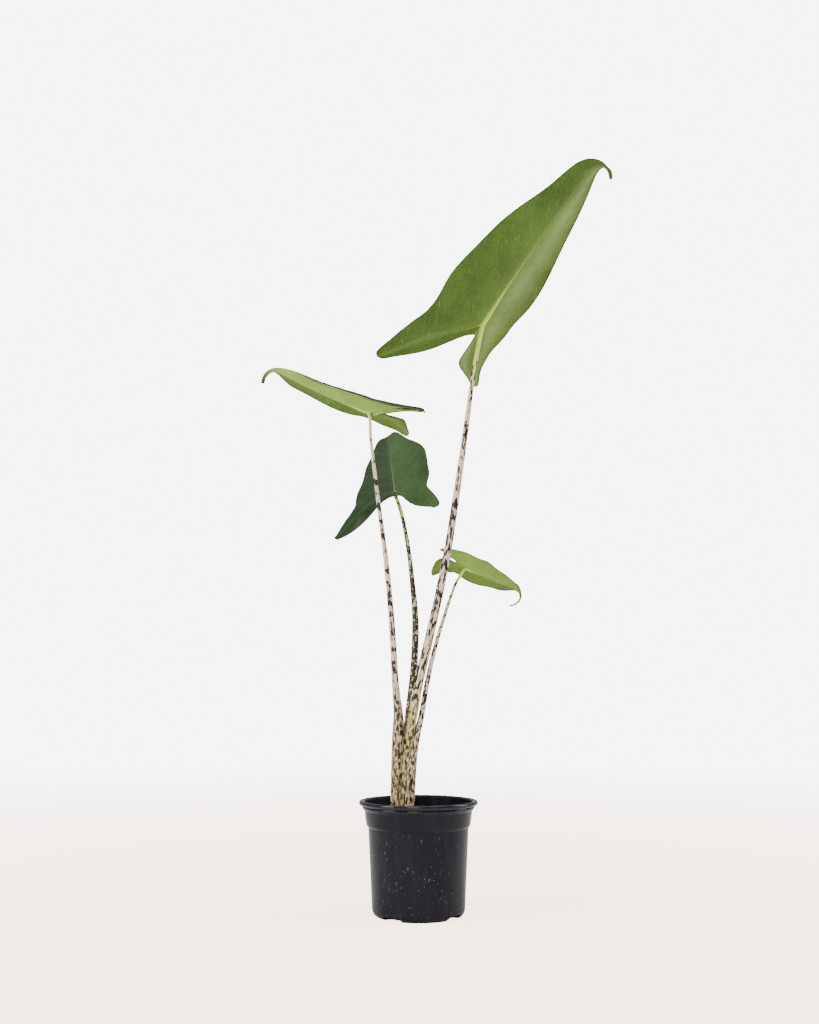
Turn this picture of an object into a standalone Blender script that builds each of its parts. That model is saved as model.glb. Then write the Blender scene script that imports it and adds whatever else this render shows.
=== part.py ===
"""Potted alocasia: a black nursery pot of potting soil, a corm in the soil, and four
arrow-shaped leaves, each a blade on its own long spotted petiole.

Metres, +Z up. The origin is the centre of the pot's flat base. The leaves' outline is one
shape, stretched, folded, cupped, arched and turned for each blade by the values in LEAVES.
"""
import math

import bpy
import bmesh
import numpy as np

# ---- pot ---------------------------------------------------------------------------------
RIM_RADIUS = 0.065        # outside of the rolled rim
POT_HEIGHT = 0.121
WALL = 0.0016             # pot wall
FLOOR = 0.0018            # pot floor
COLLAR_TOP_RADIUS = 0.0592
COLLAR_LOW_RADIUS = 0.0570
COLLAR_DEPTH = 0.0275     # from the top of the rim to the step
BODY_TOP_RADIUS = 0.0548
BODY_LOW_RADIUS = 0.0505
FOOT_RADIUS = 0.0445      # flat that the pot stands on
CORNER = 0.0085           # height of the rounded corner between foot and wall
SLOT_ANGLES = (-37.0, 53.0, 143.0, 233.0)   # drain slots, degrees from the front (-Y) to +X
SLOT_SPAN = 30.0          # degrees
SLOT_HEIGHT = 0.0048
SLOT_DEPTH = 0.0080       # how far a slot reaches in under the foot
POT_SIDES = 64

# ---- soil and corm -----------------------------------------------------------------------
GAP = 0.0003              # clearance between pieces that touch
SOIL_EDGE = 0.1075        # height of the soil at the wall
SOIL_MOUND = 0.0045       # how much higher it is at the stems
MOUND_REACH = 0.030
POCKET = (-0.0172, 0.0010)  # where the plant stands in the soil
POCKET_RADIUS = 0.0150
CORM_TOP = 0.0877
CORM_HEIGHT = 0.034
CORM_RADIUS = 0.0138

# ---- petioles: x, y, z of the centre and the radius there, from the corm up -------------------
PETIOLE_SIDES = 14
BUNDLE_TOP = 0.215        # below this height the petioles' bases nest in each other
BASE_CLEARANCE = 0.0005
PETIOLES = {
    "tall": [
        (-0.0185, -0.0020, 0.0880, 0.0052), (-0.0155, -0.0020, 0.1400, 0.0050),
        (-0.0102, -0.0015, 0.1860, 0.0052), (0.0000, 0.0000, 0.2460, 0.0052),
        (0.0137, 0.0000, 0.3040, 0.0049), (0.0314, 0.0000, 0.3850, 0.0044),
        (0.0449, 0.0000, 0.4680, 0.0038), (0.0572, 0.0000, 0.5520, 0.0030),
        (0.0644, 0.0000, 0.6030, 0.0026), (0.0705, 0.0000, 0.6370, 0.0025)],
    "back": [
        (-0.0165, 0.0068, 0.0880, 0.0062), (-0.0140, 0.0080, 0.1400, 0.0058),
        (-0.0108, 0.0140, 0.2050, 0.0048), (-0.0047, 0.0250, 0.2650, 0.0042),
        (-0.0030, 0.0340, 0.3200, 0.0038), (-0.0063, 0.0400, 0.3620, 0.0030),
        (-0.0118, 0.0460, 0.4080, 0.0026), (-0.0195, 0.0520, 0.4470, 0.0023)],
    "left": [
        (-0.0245, -0.0020, 0.0880, 0.0066), (-0.0238, -0.0020, 0.1400, 0.0066),
        (-0.0220, -0.0010, 0.1990, 0.0066), (-0.0221, -0.0010, 0.2140, 0.0053),
        (-0.0252, 0.0000, 0.2450, 0.0040), (-0.0293, 0.0000, 0.3110, 0.0034),
        (-0.0363, 0.0000, 0.3850, 0.0029), (-0.0456, 0.0000, 0.4550, 0.0023),
        (-0.0541, 0.0000, 0.5240, 0.0018)],
    "low": [
        (-0.0116, -0.0030, 0.0880, 0.0066), (-0.0092, -0.0030, 0.1400, 0.0062),
        (-0.0040, -0.0010, 0.1800, 0.0045), (0.0034, 0.0040, 0.2120, 0.0034),
        (0.0105, 0.0120, 0.2510, 0.0029), (0.0203, 0.0210, 0.2917, 0.0024),
        (0.0308, 0.0320, 0.3257, 0.0021), (0.0383, 0.0410, 0.3477, 0.0018),
        (0.0439, 0.0470, 0.3622, 0.0016), (0.0488, 0.0500, 0.3706, 0.0015)],
}

# ---- leaves ------------------------------------------------------------------------------
# One half of the flat outline, across and along the blade, in midrib lengths: from the
# drip tip down the outer margin to the lobe's tip, and back up to the notch at the stalk.
OUTER = [(0.0, 1.07), (0.009, 1.02), (0.033, 0.955), (0.100, 0.84), (0.170, 0.62),
         (0.230, 0.38), (0.268, 0.17), (0.262, 0.02), (0.272, -0.12), (0.318, -0.29),
         (0.347, -0.405), (0.345, -0.437), (0.330, -0.449)]
INNER = [(0.0, -0.062), (0.030, -0.085), (0.095, -0.165), (0.205, -0.315),
         (0.300, -0.430), (0.330, -0.449)]
COSTA = [(0.0, 0.0), (0.090, -0.095), (0.190, -0.230), (0.290, -0.390), (0.330, -0.449)]
NOTCH = 0.062
BLADE = 0.0007            # thickness of the blade
RIB_HALF = 0.0022         # half width of the midrib and of each lobe's costa
RIB_DEPTH = 0.0018        # how far the midrib stands out underneath, at the stalk
# Where along the blade its halves are made fuller, and over what reach: tip, belly, waist, lobe
STATIONS = ((0.78, 0.16), (0.40, 0.22), (0.0, 0.16), (-0.32, 0.14))
# Angles in degrees; pairs are the left and the right half, seen from above, tip forward.
LEAVES = {
    "tall": dict(at=(0.0738, 0.0000, 0.661), heading=-37.2, rise=48.3, roll=7.1,
                 midrib=0.2379, width=1.184, lobe=(0.669, 0.771), spread=(0.879, 1.122),
                 fold=(31.3, 24.0), cup=(-63.3, -7.1), arch=5.8, curl=138.2,
                 bend=(-13.3, 4.9), twist=-4.4, tail=0.0312, notch=0.062,
                 full=((0.052, 0.026, -0.063, -0.104), (-0.22, 0.003, -0.012, 0.016)), inner=(0.057, 0.011)),
    "left": dict(at=(-0.0564, 0.0000, 0.5572), heading=187.0, rise=18.0, roll=-7.5,
                 midrib=0.1279, width=1.073, lobe=(1.088, 0.9), spread=(1.237, 1.093),
                 fold=(16.5, 12.6), cup=(-2.9, -45.0), arch=-10.2, curl=115.2,
                 bend=(-10.8, -12.3), twist=14.5, tail=0.1019, notch=0.062,
                 full=((-0.054, -0.104, 0.023, 0.094), (0.069, 0.019, -0.08, -0.036)), inner=(-0.035, 0.089)),
    "back": dict(at=(-0.027, 0.0500, 0.4723), heading=95.6, rise=37.9, roll=-1.9,
                 midrib=0.1614, width=1.072, lobe=(1.072, 0.831), spread=(1.535, 0.821),
                 fold=(3.0, 23.7), cup=(-45.4, 12.8), arch=-1.0, curl=71.5,
                 bend=(67.2, 12.2), twist=-21.7, tail=0.0724, notch=0.062,
                 full=((-0.038, -0.092, 0.067, 0.054), (-0.018, 0.14, -0.019, 0.019)), inner=(0.028, 0.04)),
    "low": dict(at=(0.0571, 0.0520, 0.3821), heading=33.3, rise=-18.4, roll=31.2,
                midrib=0.0854, width=1.046, lobe=(0.992, 1.481), spread=(1.28, 0.876),
                fold=(-7.4, 46.9), cup=(-74.3, 34.1), arch=-3.9, curl=153.7,
                bend=(40.3, 26.0), twist=-29.4, tail=0.2919, notch=0.195,
                full=((0.09, 0.002, -0.017, 0.042), (0.06, -0.134, -0.066, -0.09)), inner=(0.087, 0.001)),
}


# ---- helpers -----------------------------------------------------------------------------
def srgb(code):
    """Linear colour from a hex code."""
    values = [int(code[i:i + 2], 16) / 255 for i in (1, 3, 5)]
    return [v / 12.92 if v <= 0.04045 else ((v + 0.055) / 1.055) ** 2.4 for v in values] + [1.0]


def material(name, colour, roughness):
    made = bpy.data.materials.new(name)
    made.use_nodes = True
    shader = made.node_tree.nodes["Principled BSDF"]
    shader.inputs["Base Color"].default_value = srgb(colour)
    shader.inputs["Roughness"].default_value = roughness
    shader.inputs["Metallic"].default_value = 0.0
    return made


def add_object(name, mesh_source, skin, smooth=True):
    """Object from a bmesh, with its own material."""
    mesh = bpy.data.meshes.new(name)
    mesh_source.to_mesh(mesh)
    mesh_source.free()
    if smooth:
        mesh.shade_smooth()
        mesh.set_sharp_from_angle(angle=math.radians(40))
    made = bpy.data.objects.new(name, mesh)
    bpy.context.scene.collection.objects.link(made)
    if skin:
        mesh.materials.append(skin)
    return made


def cut(target, cutter):
    """Subtract one object from another with a Boolean modifier."""
    cutter.hide_render = True
    cutter.display_type = 'WIRE'
    modifier = target.modifiers.new(cutter.name, 'BOOLEAN')
    modifier.operation = 'DIFFERENCE'
    modifier.solver = 'EXACT'
    modifier.object = cutter


def smoothstep(x):
    x = np.clip(x, 0.0, 1.0)
    return x * x * (3.0 - 2.0 * x)


def spline(points, samples):
    """Centripetal Catmull-Rom curve through the points, at the given fractions of its length."""
    p = np.array(points, float)
    step = np.sqrt(np.linalg.norm(np.diff(p[:, :3], axis=0), axis=1))
    knots = np.concatenate([[0.0], np.cumsum(step)])
    p = np.vstack([2 * p[0] - p[1], p, 2 * p[-1] - p[-2]])
    knots = np.concatenate([[-step[0]], knots, [knots[-1] + step[-1]]])

    def at(x):
        i = int(np.clip(np.searchsorted(knots, x, side='right') - 1, 1, len(p) - 3))
        k, q = knots[i - 1:i + 3], p[i - 1:i + 3]

        def mix(a, b, ka, kb):
            return (kb - x) / (kb - ka) * a + (x - ka) / (kb - ka) * b
        a1, a2, a3 = (mix(q[j], q[j + 1], k[j], k[j + 1]) for j in range(3))
        b1, b2 = mix(a1, a2, k[0], k[2]), mix(a2, a3, k[1], k[3])
        return mix(b1, b2, k[1], k[2])

    fine = np.linspace(knots[1], knots[-2], 240)
    curve = np.array([at(x) for x in fine])
    run = np.concatenate([[0.0], np.cumsum(np.linalg.norm(np.diff(curve[:, :3], axis=0), axis=1))])
    want = np.asarray(samples) * run[-1]
    return np.stack([np.interp(want, run, curve[:, c]) for c in range(curve.shape[1])], 1)


def turned(profile, sides):
    """Closed body turned about Z from a closed loop of (radius, height), which may end on the axis."""
    bm = bmesh.new()
    rings = []
    for radius, height in profile:
        if radius < 1e-9:
            rings.append([bm.verts.new((0.0, 0.0, height))])
            continue
        turn = [2 * math.pi * k / sides for k in range(sides)]
        rings.append([bm.verts.new((radius * math.sin(a), -radius * math.cos(a), height))
                      for a in turn])
    for low, high in zip(rings, rings[1:]):
        for k in range(sides):
            n = (k + 1) % sides
            corners = [low[k % len(low)], low[n % len(low)], high[n % len(high)], high[k % len(high)]]
            kept = [v for i, v in enumerate(corners) if v not in corners[:i]]
            bm.faces.new(kept)
    bmesh.ops.recalc_face_normals(bm, faces=bm.faces)
    return bm


# ---- pot ---------------------------------------------------------------------------------
def body_radius(height):
    """Outside radius of the pot's tapered body."""
    top = POT_HEIGHT - COLLAR_DEPTH
    share = (height - CORNER) / (top - CORNER)
    return BODY_LOW_RADIUS + (BODY_TOP_RADIUS - BODY_LOW_RADIUS) * share


def inner_radius(height):
    """Inside radius of the pot's wall, below the collar."""
    return body_radius(height) - WALL


def pot_profile():
    top, step = POT_HEIGHT, POT_HEIGHT - COLLAR_DEPTH
    outside = [(0.0, 0.0), (FOOT_RADIUS, 0.0)]
    for k in range(1, 5):                       # rounded corner from the foot to the wall
        turn = math.radians(90 * k / 4)
        outside.append((FOOT_RADIUS + (BODY_LOW_RADIUS - FOOT_RADIUS) * math.sin(turn),
                        CORNER * (1 - math.cos(turn))))
    outside += [
        (body_radius(step - 0.0008), step - 0.0008),
        (COLLAR_LOW_RADIUS - 0.0008, step + 0.0008), (COLLAR_LOW_RADIUS, step + 0.0022),
        (COLLAR_TOP_RADIUS, top - 0.0100), (COLLAR_TOP_RADIUS + 0.0016, top - 0.0086),
        (COLLAR_TOP_RADIUS + 0.0024, top - 0.0068), (COLLAR_TOP_RADIUS + 0.0018, top - 0.0052),
        (RIM_RADIUS - 0.0014, top - 0.0048), (RIM_RADIUS, top - 0.0036),
        (RIM_RADIUS, top - 0.0014), (RIM_RADIUS - 0.0013, top)]
    inside = [
        (RIM_RADIUS - 0.0052, top), (COLLAR_TOP_RADIUS - WALL, top - 0.0016),
        (COLLAR_LOW_RADIUS - WALL, step + 0.0022), (inner_radius(step), step - 0.0004)]
    low = FLOOR + CORNER * 0.8
    inside += [(inner_radius(low), low), (inner_radius(low) - 0.0016, FLOOR + 0.0024),
               (FOOT_RADIUS, FLOOR), (0.0, FLOOR)]
    return outside + inside


def build_pot(skin):
    pot = add_object("nursery_pot", turned(pot_profile(), POT_SIDES), skin)
    steps = 6
    bm = bmesh.new()
    for centre in SLOT_ANGLES:                  # one wedge through the corner for each drain slot
        rings = []
        for k in range(steps + 1):
            a = math.radians(centre + SLOT_SPAN * (k / steps - 0.5))
            inner, outer = FOOT_RADIUS - SLOT_DEPTH, BODY_LOW_RADIUS + 0.004
            section = [(inner, -0.002), (outer, -0.002), (outer, SLOT_HEIGHT), (inner, SLOT_HEIGHT)]
            rings.append([bm.verts.new((r * math.sin(a), -r * math.cos(a), z)) for r, z in section])
        for a, b in zip(rings, rings[1:]):
            for k in range(4):
                n = (k + 1) % 4
                bm.faces.new((a[k], a[n], b[n], b[k]))
        bm.faces.new(rings[0])
        bm.faces.new(rings[-1])
    bmesh.ops.recalc_face_normals(bm, faces=bm.faces)
    cut(pot, add_object("drain_slot_cutter", bm, None, smooth=False))
    return pot


# ---- soil and corm -----------------------------------------------------------------------
def soil_height(x, y):
    away = ((x - POCKET[0]) ** 2 + (y - POCKET[1]) ** 2) / MOUND_REACH ** 2
    return SOIL_EDGE + SOIL_MOUND * math.exp(-away)


def build_soil(skin):
    """Soil that fills the pot, mounded at the stems, with the pocket that the plant stands in."""
    bottom = FLOOR + GAP
    step = POT_HEIGHT - COLLAR_DEPTH
    side = [(0.0, bottom), (FOOT_RADIUS - 0.001, bottom),
            (inner_radius(0.0105) - 0.0016 - GAP, bottom + 0.0030),
            (inner_radius(0.0105) - GAP, 0.0105), (inner_radius(step) - GAP, step - 0.0006),
            (COLLAR_LOW_RADIUS - WALL - GAP, step + 0.0026)]
    wall = COLLAR_LOW_RADIUS - WALL - GAP + 0.0008
    side += [(wall, SOIL_EDGE - 0.0008)] + [(wall * s, SOIL_EDGE) for s in (0.975, 0.8, 0.6, 0.4, 0.2)]
    side.append((0.0, SOIL_EDGE))
    bm = turned(side, 40)
    for v in bm.verts:
        if v.co.z > SOIL_EDGE - 0.0001:
            v.co.z = soil_height(v.co.x, v.co.y)
    soil = add_object("potting_soil", bm, skin)
    floor = CORM_TOP - CORM_HEIGHT - GAP
    pocket = turned([(0.0, floor), (POCKET_RADIUS - 0.001, floor), (POCKET_RADIUS, floor + 0.001),
                     (POCKET_RADIUS, 0.130), (0.0, 0.130)], 32)
    cutter = add_object("plant_pocket_cutter", pocket, None, smooth=False)
    cutter.location = (POCKET[0], POCKET[1], 0.0)
    cut(soil, cutter)
    return soil


def build_corm(skin):
    """Rootstock under the petioles, rounded below and flat on top."""
    low = CORM_TOP - CORM_HEIGHT
    profile = [(0.0, low)]
    for share, width in ((0.03, 0.35), (0.12, 0.66), (0.28, 0.88), (0.5, 1.0), (0.75, 0.97), (0.95, 0.9)):
        profile.append((CORM_RADIUS * width, low + CORM_HEIGHT * share))
    profile += [(CORM_RADIUS * 0.84, CORM_TOP), (0.0, CORM_TOP)]
    corm = add_object("corm", turned(profile, 24), skin)
    corm.location = (POCKET[0], POCKET[1], 0.0)
    return corm


# ---- leaf shape --------------------------------------------------------------------------
def leaf_axes(leaf):
    """Columns: along the midrib, to the leaf's left, out of its upper face."""
    az, el, ro = (math.radians(leaf[k]) for k in ("heading", "rise", "roll"))
    along = np.array([math.cos(el) * math.cos(az), math.cos(el) * math.sin(az), math.sin(el)])
    side = np.array([-math.sin(az), math.cos(az), 0.0])
    up = np.cross(along, side)
    left = side * math.cos(ro) + up * math.sin(ro)
    return np.stack([along, left, np.cross(along, left)], 1)


def flat_points(leaf, template, half):
    """Scale points of the flat outline to this leaf: across and along, in metres."""
    t = np.asarray(template, float)
    u, v = t[:, 0], t[:, 1]
    full = 1 + sum(gain * np.exp(-((v - middle) / reach) ** 2)
                   for gain, (middle, reach) in zip(leaf["full"][half], STATIONS))
    lobe = smoothstep((0.02 - v) / 0.2)
    across = u * full * leaf["width"] * (1 + (leaf["spread"][half] - 1) * lobe)
    along = np.where(v < -leaf["notch"], -leaf["notch"] + (v + leaf["notch"]) * leaf["lobe"][half], v)
    along = np.where(v > 1, 1 + (v - 1) / 0.07 * leaf["tail"], along)
    return np.stack([across, along], 1) * leaf["midrib"]


def notch_line(leaf, half, samples):
    """Template of the edge between notch and lobe, swollen or hollowed and set back for this leaf."""
    line = spline(INNER, samples)
    share = np.sin(math.pi * np.asarray(samples))
    line += np.outer(leaf["inner"][half] * share ** 2, (-0.76, -0.65))
    line[:, 0] = np.maximum(line[:, 0], 0.0)
    line[:, 1] -= (leaf["notch"] - NOTCH) * (1 - np.sin(math.pi / 2 * np.asarray(samples)))
    return line


def bent_line(leaf, along, half):
    """Angle, forward and upward position of the blade's centre line at each distance along it."""
    length, n = leaf["midrib"], 240
    split = -leaf["notch"] * length
    s = np.concatenate([np.linspace(-0.75 * length, split, n), np.linspace(split, 0, n)[1:],
                        np.linspace(0, 1.3 * length, n)[1:]])
    ahead = np.clip(s / length, 0, None)
    behind = np.clip((split - s) / length, 0, None)
    angle = math.radians(leaf["arch"]) * ahead
    angle += math.radians(leaf["curl"]) * smoothstep((ahead - 0.84) / (0.18 + leaf["tail"]))
    angle -= math.radians(leaf["bend"][half]) * behind / 0.4
    middle, step = (angle[1:] + angle[:-1]) / 2, np.diff(s)
    forward = np.concatenate([[0.0], np.cumsum(step * np.cos(middle))])
    upward = np.concatenate([[0.0], np.cumsum(-step * np.sin(middle))])
    stalk = 2 * n - 2
    forward, upward = forward - forward[stalk], upward - upward[stalk]
    return [np.interp(along, s, values) for values in (angle, forward, upward)]


def placed(leaf, flat, half):
    """World position of flat points on the upper face: folded, cupped, bent and turned."""
    u, v = flat[:, 0], flat[:, 1]
    span = 0.27 * leaf["midrib"] * leaf["width"]
    fold = math.radians(leaf["fold"][half]) * (1 - 0.35 * smoothstep(v / leaf["midrib"]))
    cup = math.radians(leaf["cup"][half])
    turn = fold + cup * u / span
    out = span / cup * (np.sin(turn) - np.sin(fold))
    up = span / cup * (np.cos(fold) - np.cos(turn))
    sign = 1 if half == 0 else -1
    twist = math.radians(leaf["twist"]) * np.clip(v / leaf["midrib"], -0.6, 1.0)
    side = sign * out * np.cos(twist) - up * np.sin(twist)
    lift = sign * out * np.sin(twist) + up * np.cos(twist)
    angle, forward, upward = bent_line(leaf, v, half)
    local = np.stack([forward + lift * np.sin(angle), side, upward + lift * np.cos(angle)], 1)
    return local @ leaf_axes(leaf).T + np.array(leaf["at"])


def half_rows(leaf, half):
    """Rows of flat points from the ribs out to the margin, with the blade's depth at each."""
    midrib_end = 1.07
    spine = np.array([[0.0, v] for v in np.concatenate([
        np.linspace(midrib_end, 0.84, 7), np.linspace(0.84, 0.0, 8)[1:]])])
    costa = spline(COSTA, np.linspace(0, 1, 6))
    ribs = np.vstack([spine, costa[1:]])
    run = np.concatenate([[0.0], np.cumsum(np.linalg.norm(np.diff(ribs, axis=0), axis=1))])
    share = run / run[-1]
    # the margin keeps pace with the midrib near the tip and with the costa down the lobe
    margin = spline(OUTER, share)
    notch = notch_line(leaf, half, np.linspace(0, 1, len(costa)))
    rows = []
    for k in range(len(ribs)):
        rows.append(("outer", k, ribs[k], margin[k]))
    for k in range(len(costa)):
        rows.append(("inner", k, costa[k], notch[k]))
    return rows


def rib_depth(leaf, template):
    """How far the midrib or costa stands out under the blade at a point of it."""
    reach = np.linalg.norm(template)
    full = 1.07 if template[0] < 1e-9 else 0.56
    return RIB_DEPTH * (leaf["midrib"] / 0.2) ** 0.4 * max(0.0, 1 - reach / full) ** 0.8


def build_blade(name, leaf, skin):
    bm = bmesh.new()
    found = {}
    top, depth = [], []

    def point(template, half, extra):
        flat = flat_points(leaf, [template], half)
        where = placed(leaf, flat, half)[0]
        key = tuple(np.round(where, 7))
        if key not in found:
            found[key] = len(top)
            top.append(where)
            depth.append(BLADE + extra)
        return found[key]

    faces, edges = [], []
    for half in (0, 1):
        strips = {"outer": [], "inner": []}
        for strip, k, rib, margin in half_rows(leaf, half):
            width = np.linalg.norm(margin - rib) * leaf["midrib"]
            near = min(RIB_HALF / max(width, 1e-6), 0.33)
            shares = [0.0, near] + ([near + (1 - near) * s for s in (0.34, 0.68, 1.0)]
                                    if strip == "outer" else [near + (1 - near) * 0.5, 1.0])
            line = []
            for i, s in enumerate(shares):
                template = rib * (1 - s) + margin * s
                line.append(point(template, half, rib_depth(leaf, rib) if i == 0 else 0.0))
            strips[strip].append(line)
        for strip, lines in strips.items():
            for a, b in zip(lines, lines[1:]):
                for k in range(len(a) - 1):
                    corners = [a[k], a[k + 1], b[k + 1], b[k]]
                    kept = [c for i, c in enumerate(corners) if c not in corners[:i]]
                    if len(kept) > 2:
                        flip = (half == 0) == (strip == "outer")
                        faces.append(kept if flip else kept[::-1])
    top = np.array(top)
    normal = np.zeros_like(top)
    for face in faces:
        p = top[face]
        area = np.zeros(3)
        for i in range(1, len(face) - 1):
            area += np.cross(p[i] - p[0], p[i + 1] - p[0])
        for c in face:
            normal[c] += area
    normal /= np.linalg.norm(normal, axis=1)[:, None]
    if normal[found[tuple(np.round(np.array(leaf["at"]), 7))]] @ leaf_axes(leaf)[:, 2] < 0:
        normal, faces = -normal, [f[::-1] for f in faces]
    low = top - normal * np.array(depth)[:, None]
    upper = [bm.verts.new(p) for p in top]
    lower = [bm.verts.new(p) for p in low]
    for face in faces:
        bm.faces.new([upper[c] for c in face])
        bm.faces.new([lower[c] for c in face[::-1]])
    count = {}
    for face in faces:
        for a, b in zip(face, face[1:] + face[:1]):
            edges.append((a, b))
            count[frozenset((a, b))] = count.get(frozenset((a, b)), 0) + 1
    for a, b in edges:                          # wall round the margin
        if count[frozenset((a, b))] == 1:
            bm.faces.new((upper[b], upper[a], lower[a], lower[b]))
    bmesh.ops.triangulate(bm, faces=[f for f in bm.faces if len(f.verts) > 3])
    bmesh.ops.recalc_face_normals(bm, faces=bm.faces)
    return add_object(name, bm, skin)


# ---- petioles ----------------------------------------------------------------------------
def petiole_course(key):
    """Route from the corm to just under the blade, as x, y, z, radius."""
    leaf = LEAVES[key]
    under = BLADE + rib_depth(leaf, np.zeros(2)) + GAP
    end = np.array(leaf["at"]) - leaf_axes(leaf)[:, 2] * under
    return PETIOLES[key] + [(*end, PETIOLES[key][-1][3] * 0.96)]


def centre_at(key, height):
    """Centre and radius of a petiole at one height in the bundle."""
    course = spline(petiole_course(key), np.linspace(0, 1, 200))
    return np.array([np.interp(height, course[:, 2], course[:, c]) for c in (0, 1, 3)])


def petiole_rings(key, inside):
    """Rings of a petiole. In the bundle each is level and hollowed by the petioles inside it."""
    course = spline(petiole_course(key), np.linspace(0, 1, 400))
    levels = list(np.arange(PETIOLES[key][0][2], BUNDLE_TOP + 0.03, 0.0092))
    rings = []
    turns = [2 * math.pi * k / PETIOLE_SIDES for k in range(PETIOLE_SIDES)]
    for level in levels:
        x, y, radius = centre_at(key, level)
        ring = []
        for a in turns:
            ray = np.array([math.cos(a), math.sin(a)])
            reach = radius
            for other in inside:
                ox, oy, other_radius = centre_at(other, level)
                to = np.array([ox - x, oy - y])
                near = to @ ray
                size = other_radius + BASE_CLEARANCE
                miss = to @ to - near * near
                if near > 0 and miss < size * size:
                    reach = min(reach, near - math.sqrt(size * size - miss))
            ring.append(np.array([x + ray[0] * reach, y + ray[1] * reach, level]))
        rings.append(ring)
    start = np.interp(levels[-1] + 0.020, course[:, 2], np.linspace(0, 1, 400))
    spans = max(6, int((1 - start) * 0.5 / 0.030))
    marks = np.linspace(start, 1.0, spans)
    path = spline(petiole_course(key), marks)
    tangent = spline(petiole_course(key), np.clip(marks + 0.004, 0, 1))[:, :3]
    tangent = tangent - spline(petiole_course(key), np.clip(marks - 0.004, 0, 1))[:, :3]
    axes = leaf_axes(LEAVES[key])
    for k in range(spans):
        along = tangent[k] / np.linalg.norm(tangent[k])
        cross = np.cross(along, (0.0, 1.0, 0.0))
        cross /= np.linalg.norm(cross)
        cross = -cross if cross[0] < 0 else cross
        deep = np.cross(along, cross)
        ring = []
        for a in turns:
            offset = (cross * math.cos(a) + deep * math.sin(a)) * path[k, 3]
            if k == spans - 1:                  # the top ring lies flat under the blade
                offset = offset - along * (offset @ axes[:, 2]) / (along @ axes[:, 2])
            ring.append(path[k, :3] + offset)
        rings.append(ring)
    return rings


def build_petiole(name, key, inside, skin):
    bm = bmesh.new()
    rings = [[bm.verts.new(p) for p in ring] for ring in petiole_rings(key, inside)]
    for low, high in zip(rings, rings[1:]):
        for k in range(PETIOLE_SIDES):
            n = (k + 1) % PETIOLE_SIDES
            bm.faces.new((low[k], low[n], high[n], high[k]))
    bm.faces.new(rings[0][::-1])
    bm.faces.new(rings[-1])
    bmesh.ops.triangulate(bm, faces=[f for f in bm.faces if len(f.verts) > 3])
    bmesh.ops.recalc_face_normals(bm, faces=bm.faces)
    return add_object(name, bm, skin)


def main():
    for old in list(bpy.data.objects):
        bpy.data.objects.remove(old, do_unlink=True)
    build_pot(material("black_plastic", "#1B1B1D", 0.4))
    build_soil(material("peat_soil", "#241B15", 0.95))
    build_corm(material("corm_skin", "#6A5138", 0.8))
    # from the innermost base outwards: each base is hollowed round those before it
    order = ["tall", "back", "left", "low"]
    for k, key in enumerate(order):
        build_petiole("petiole_" + key, key, order[:k], material("petiole_skin_" + key, "#B9A58C", 0.5))
    greens = {"tall": "#5F8035", "left": "#8AA860", "back": "#3C5C3C", "low": "#85A650"}
    for key, colour in greens.items():
        build_blade("leaf_blade_" + key, LEAVES[key], material("leaf_skin_" + key, colour, 0.45))


if __name__ == "__main__":
    main()
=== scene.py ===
"""Potted alocasia, dressed: pot, soil, corm, four spotted petioles and four leaf blades.

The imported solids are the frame. Each piece below is made over its solid, in metres, and is shown
in its place; the corm shows its own solid, and the soil's crumbs and the side veins are added.
"""
import math
from statistics import NormalDist

import bmesh
import bpy
import numpy as np
from bpy.props import FloatProperty, FloatVectorProperty, IntProperty, PointerProperty
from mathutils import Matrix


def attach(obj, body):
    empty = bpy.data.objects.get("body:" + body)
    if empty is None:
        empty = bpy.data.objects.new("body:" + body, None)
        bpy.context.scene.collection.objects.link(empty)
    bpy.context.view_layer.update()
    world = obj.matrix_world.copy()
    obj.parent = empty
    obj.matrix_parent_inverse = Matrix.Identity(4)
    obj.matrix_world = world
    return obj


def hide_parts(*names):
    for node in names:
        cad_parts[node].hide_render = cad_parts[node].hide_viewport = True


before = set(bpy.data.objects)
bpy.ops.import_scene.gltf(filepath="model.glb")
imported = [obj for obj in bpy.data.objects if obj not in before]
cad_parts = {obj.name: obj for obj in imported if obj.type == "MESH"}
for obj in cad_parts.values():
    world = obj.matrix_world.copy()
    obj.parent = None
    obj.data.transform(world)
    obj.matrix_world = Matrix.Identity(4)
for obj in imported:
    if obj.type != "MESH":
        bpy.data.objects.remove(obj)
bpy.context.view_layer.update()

bl_info = {
    "name": "Potted Alocasia",
    "version": (1, 0, 0),
    "blender": (4, 5, 0),
    "location": "3D View > Sidebar > Alocasia",
    "description": "Builds a potted alocasia over its solids, with its stage",
    "category": "Add Mesh",
}

# ---- sizes, in metres: those of the pot, the soil and the petioles are the solids' own ---------
RIM_RADIUS = 0.065
POT_HEIGHT = 0.121
WALL = 0.0016
FLOOR = 0.0018
COLLAR_TOP_RADIUS = 0.0592
COLLAR_LOW_RADIUS = 0.0570
COLLAR_DEPTH = 0.0275
BODY_TOP_RADIUS = 0.0548
BODY_LOW_RADIUS = 0.0505
FOOT_RADIUS = 0.0445
CORNER = 0.0085
SLOTS = 4
FIRST_SLOT = -37.0          # degrees from the front
SLOT_SPAN = 30.0            # degrees
SLOT_HEIGHT = 0.0048
SLOT_DEPTH = 0.0080
GAP = 0.0003                # between the soil and the pot
SOIL_EDGE = 0.1075
SOIL_MOUND = 0.0045
MOUND_REACH = 0.030
POCKET = (-0.0172, 0.0010)  # where the petioles leave the soil
BUNDLE_TOP = 0.215
BUNDLE_MARGIN = 0.03        # how far above it the rings stay level
BASE_CLEARANCE = 0.0005
# Corners of the patch of the rim that a few crumbs lie on
SPILL = [(x, y, POT_HEIGHT - 0.0004) for x, y in
         ((-0.0005, -0.0636), (0.0105, -0.0636), (0.0105, -0.0612), (-0.0005, -0.0612))]

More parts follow.
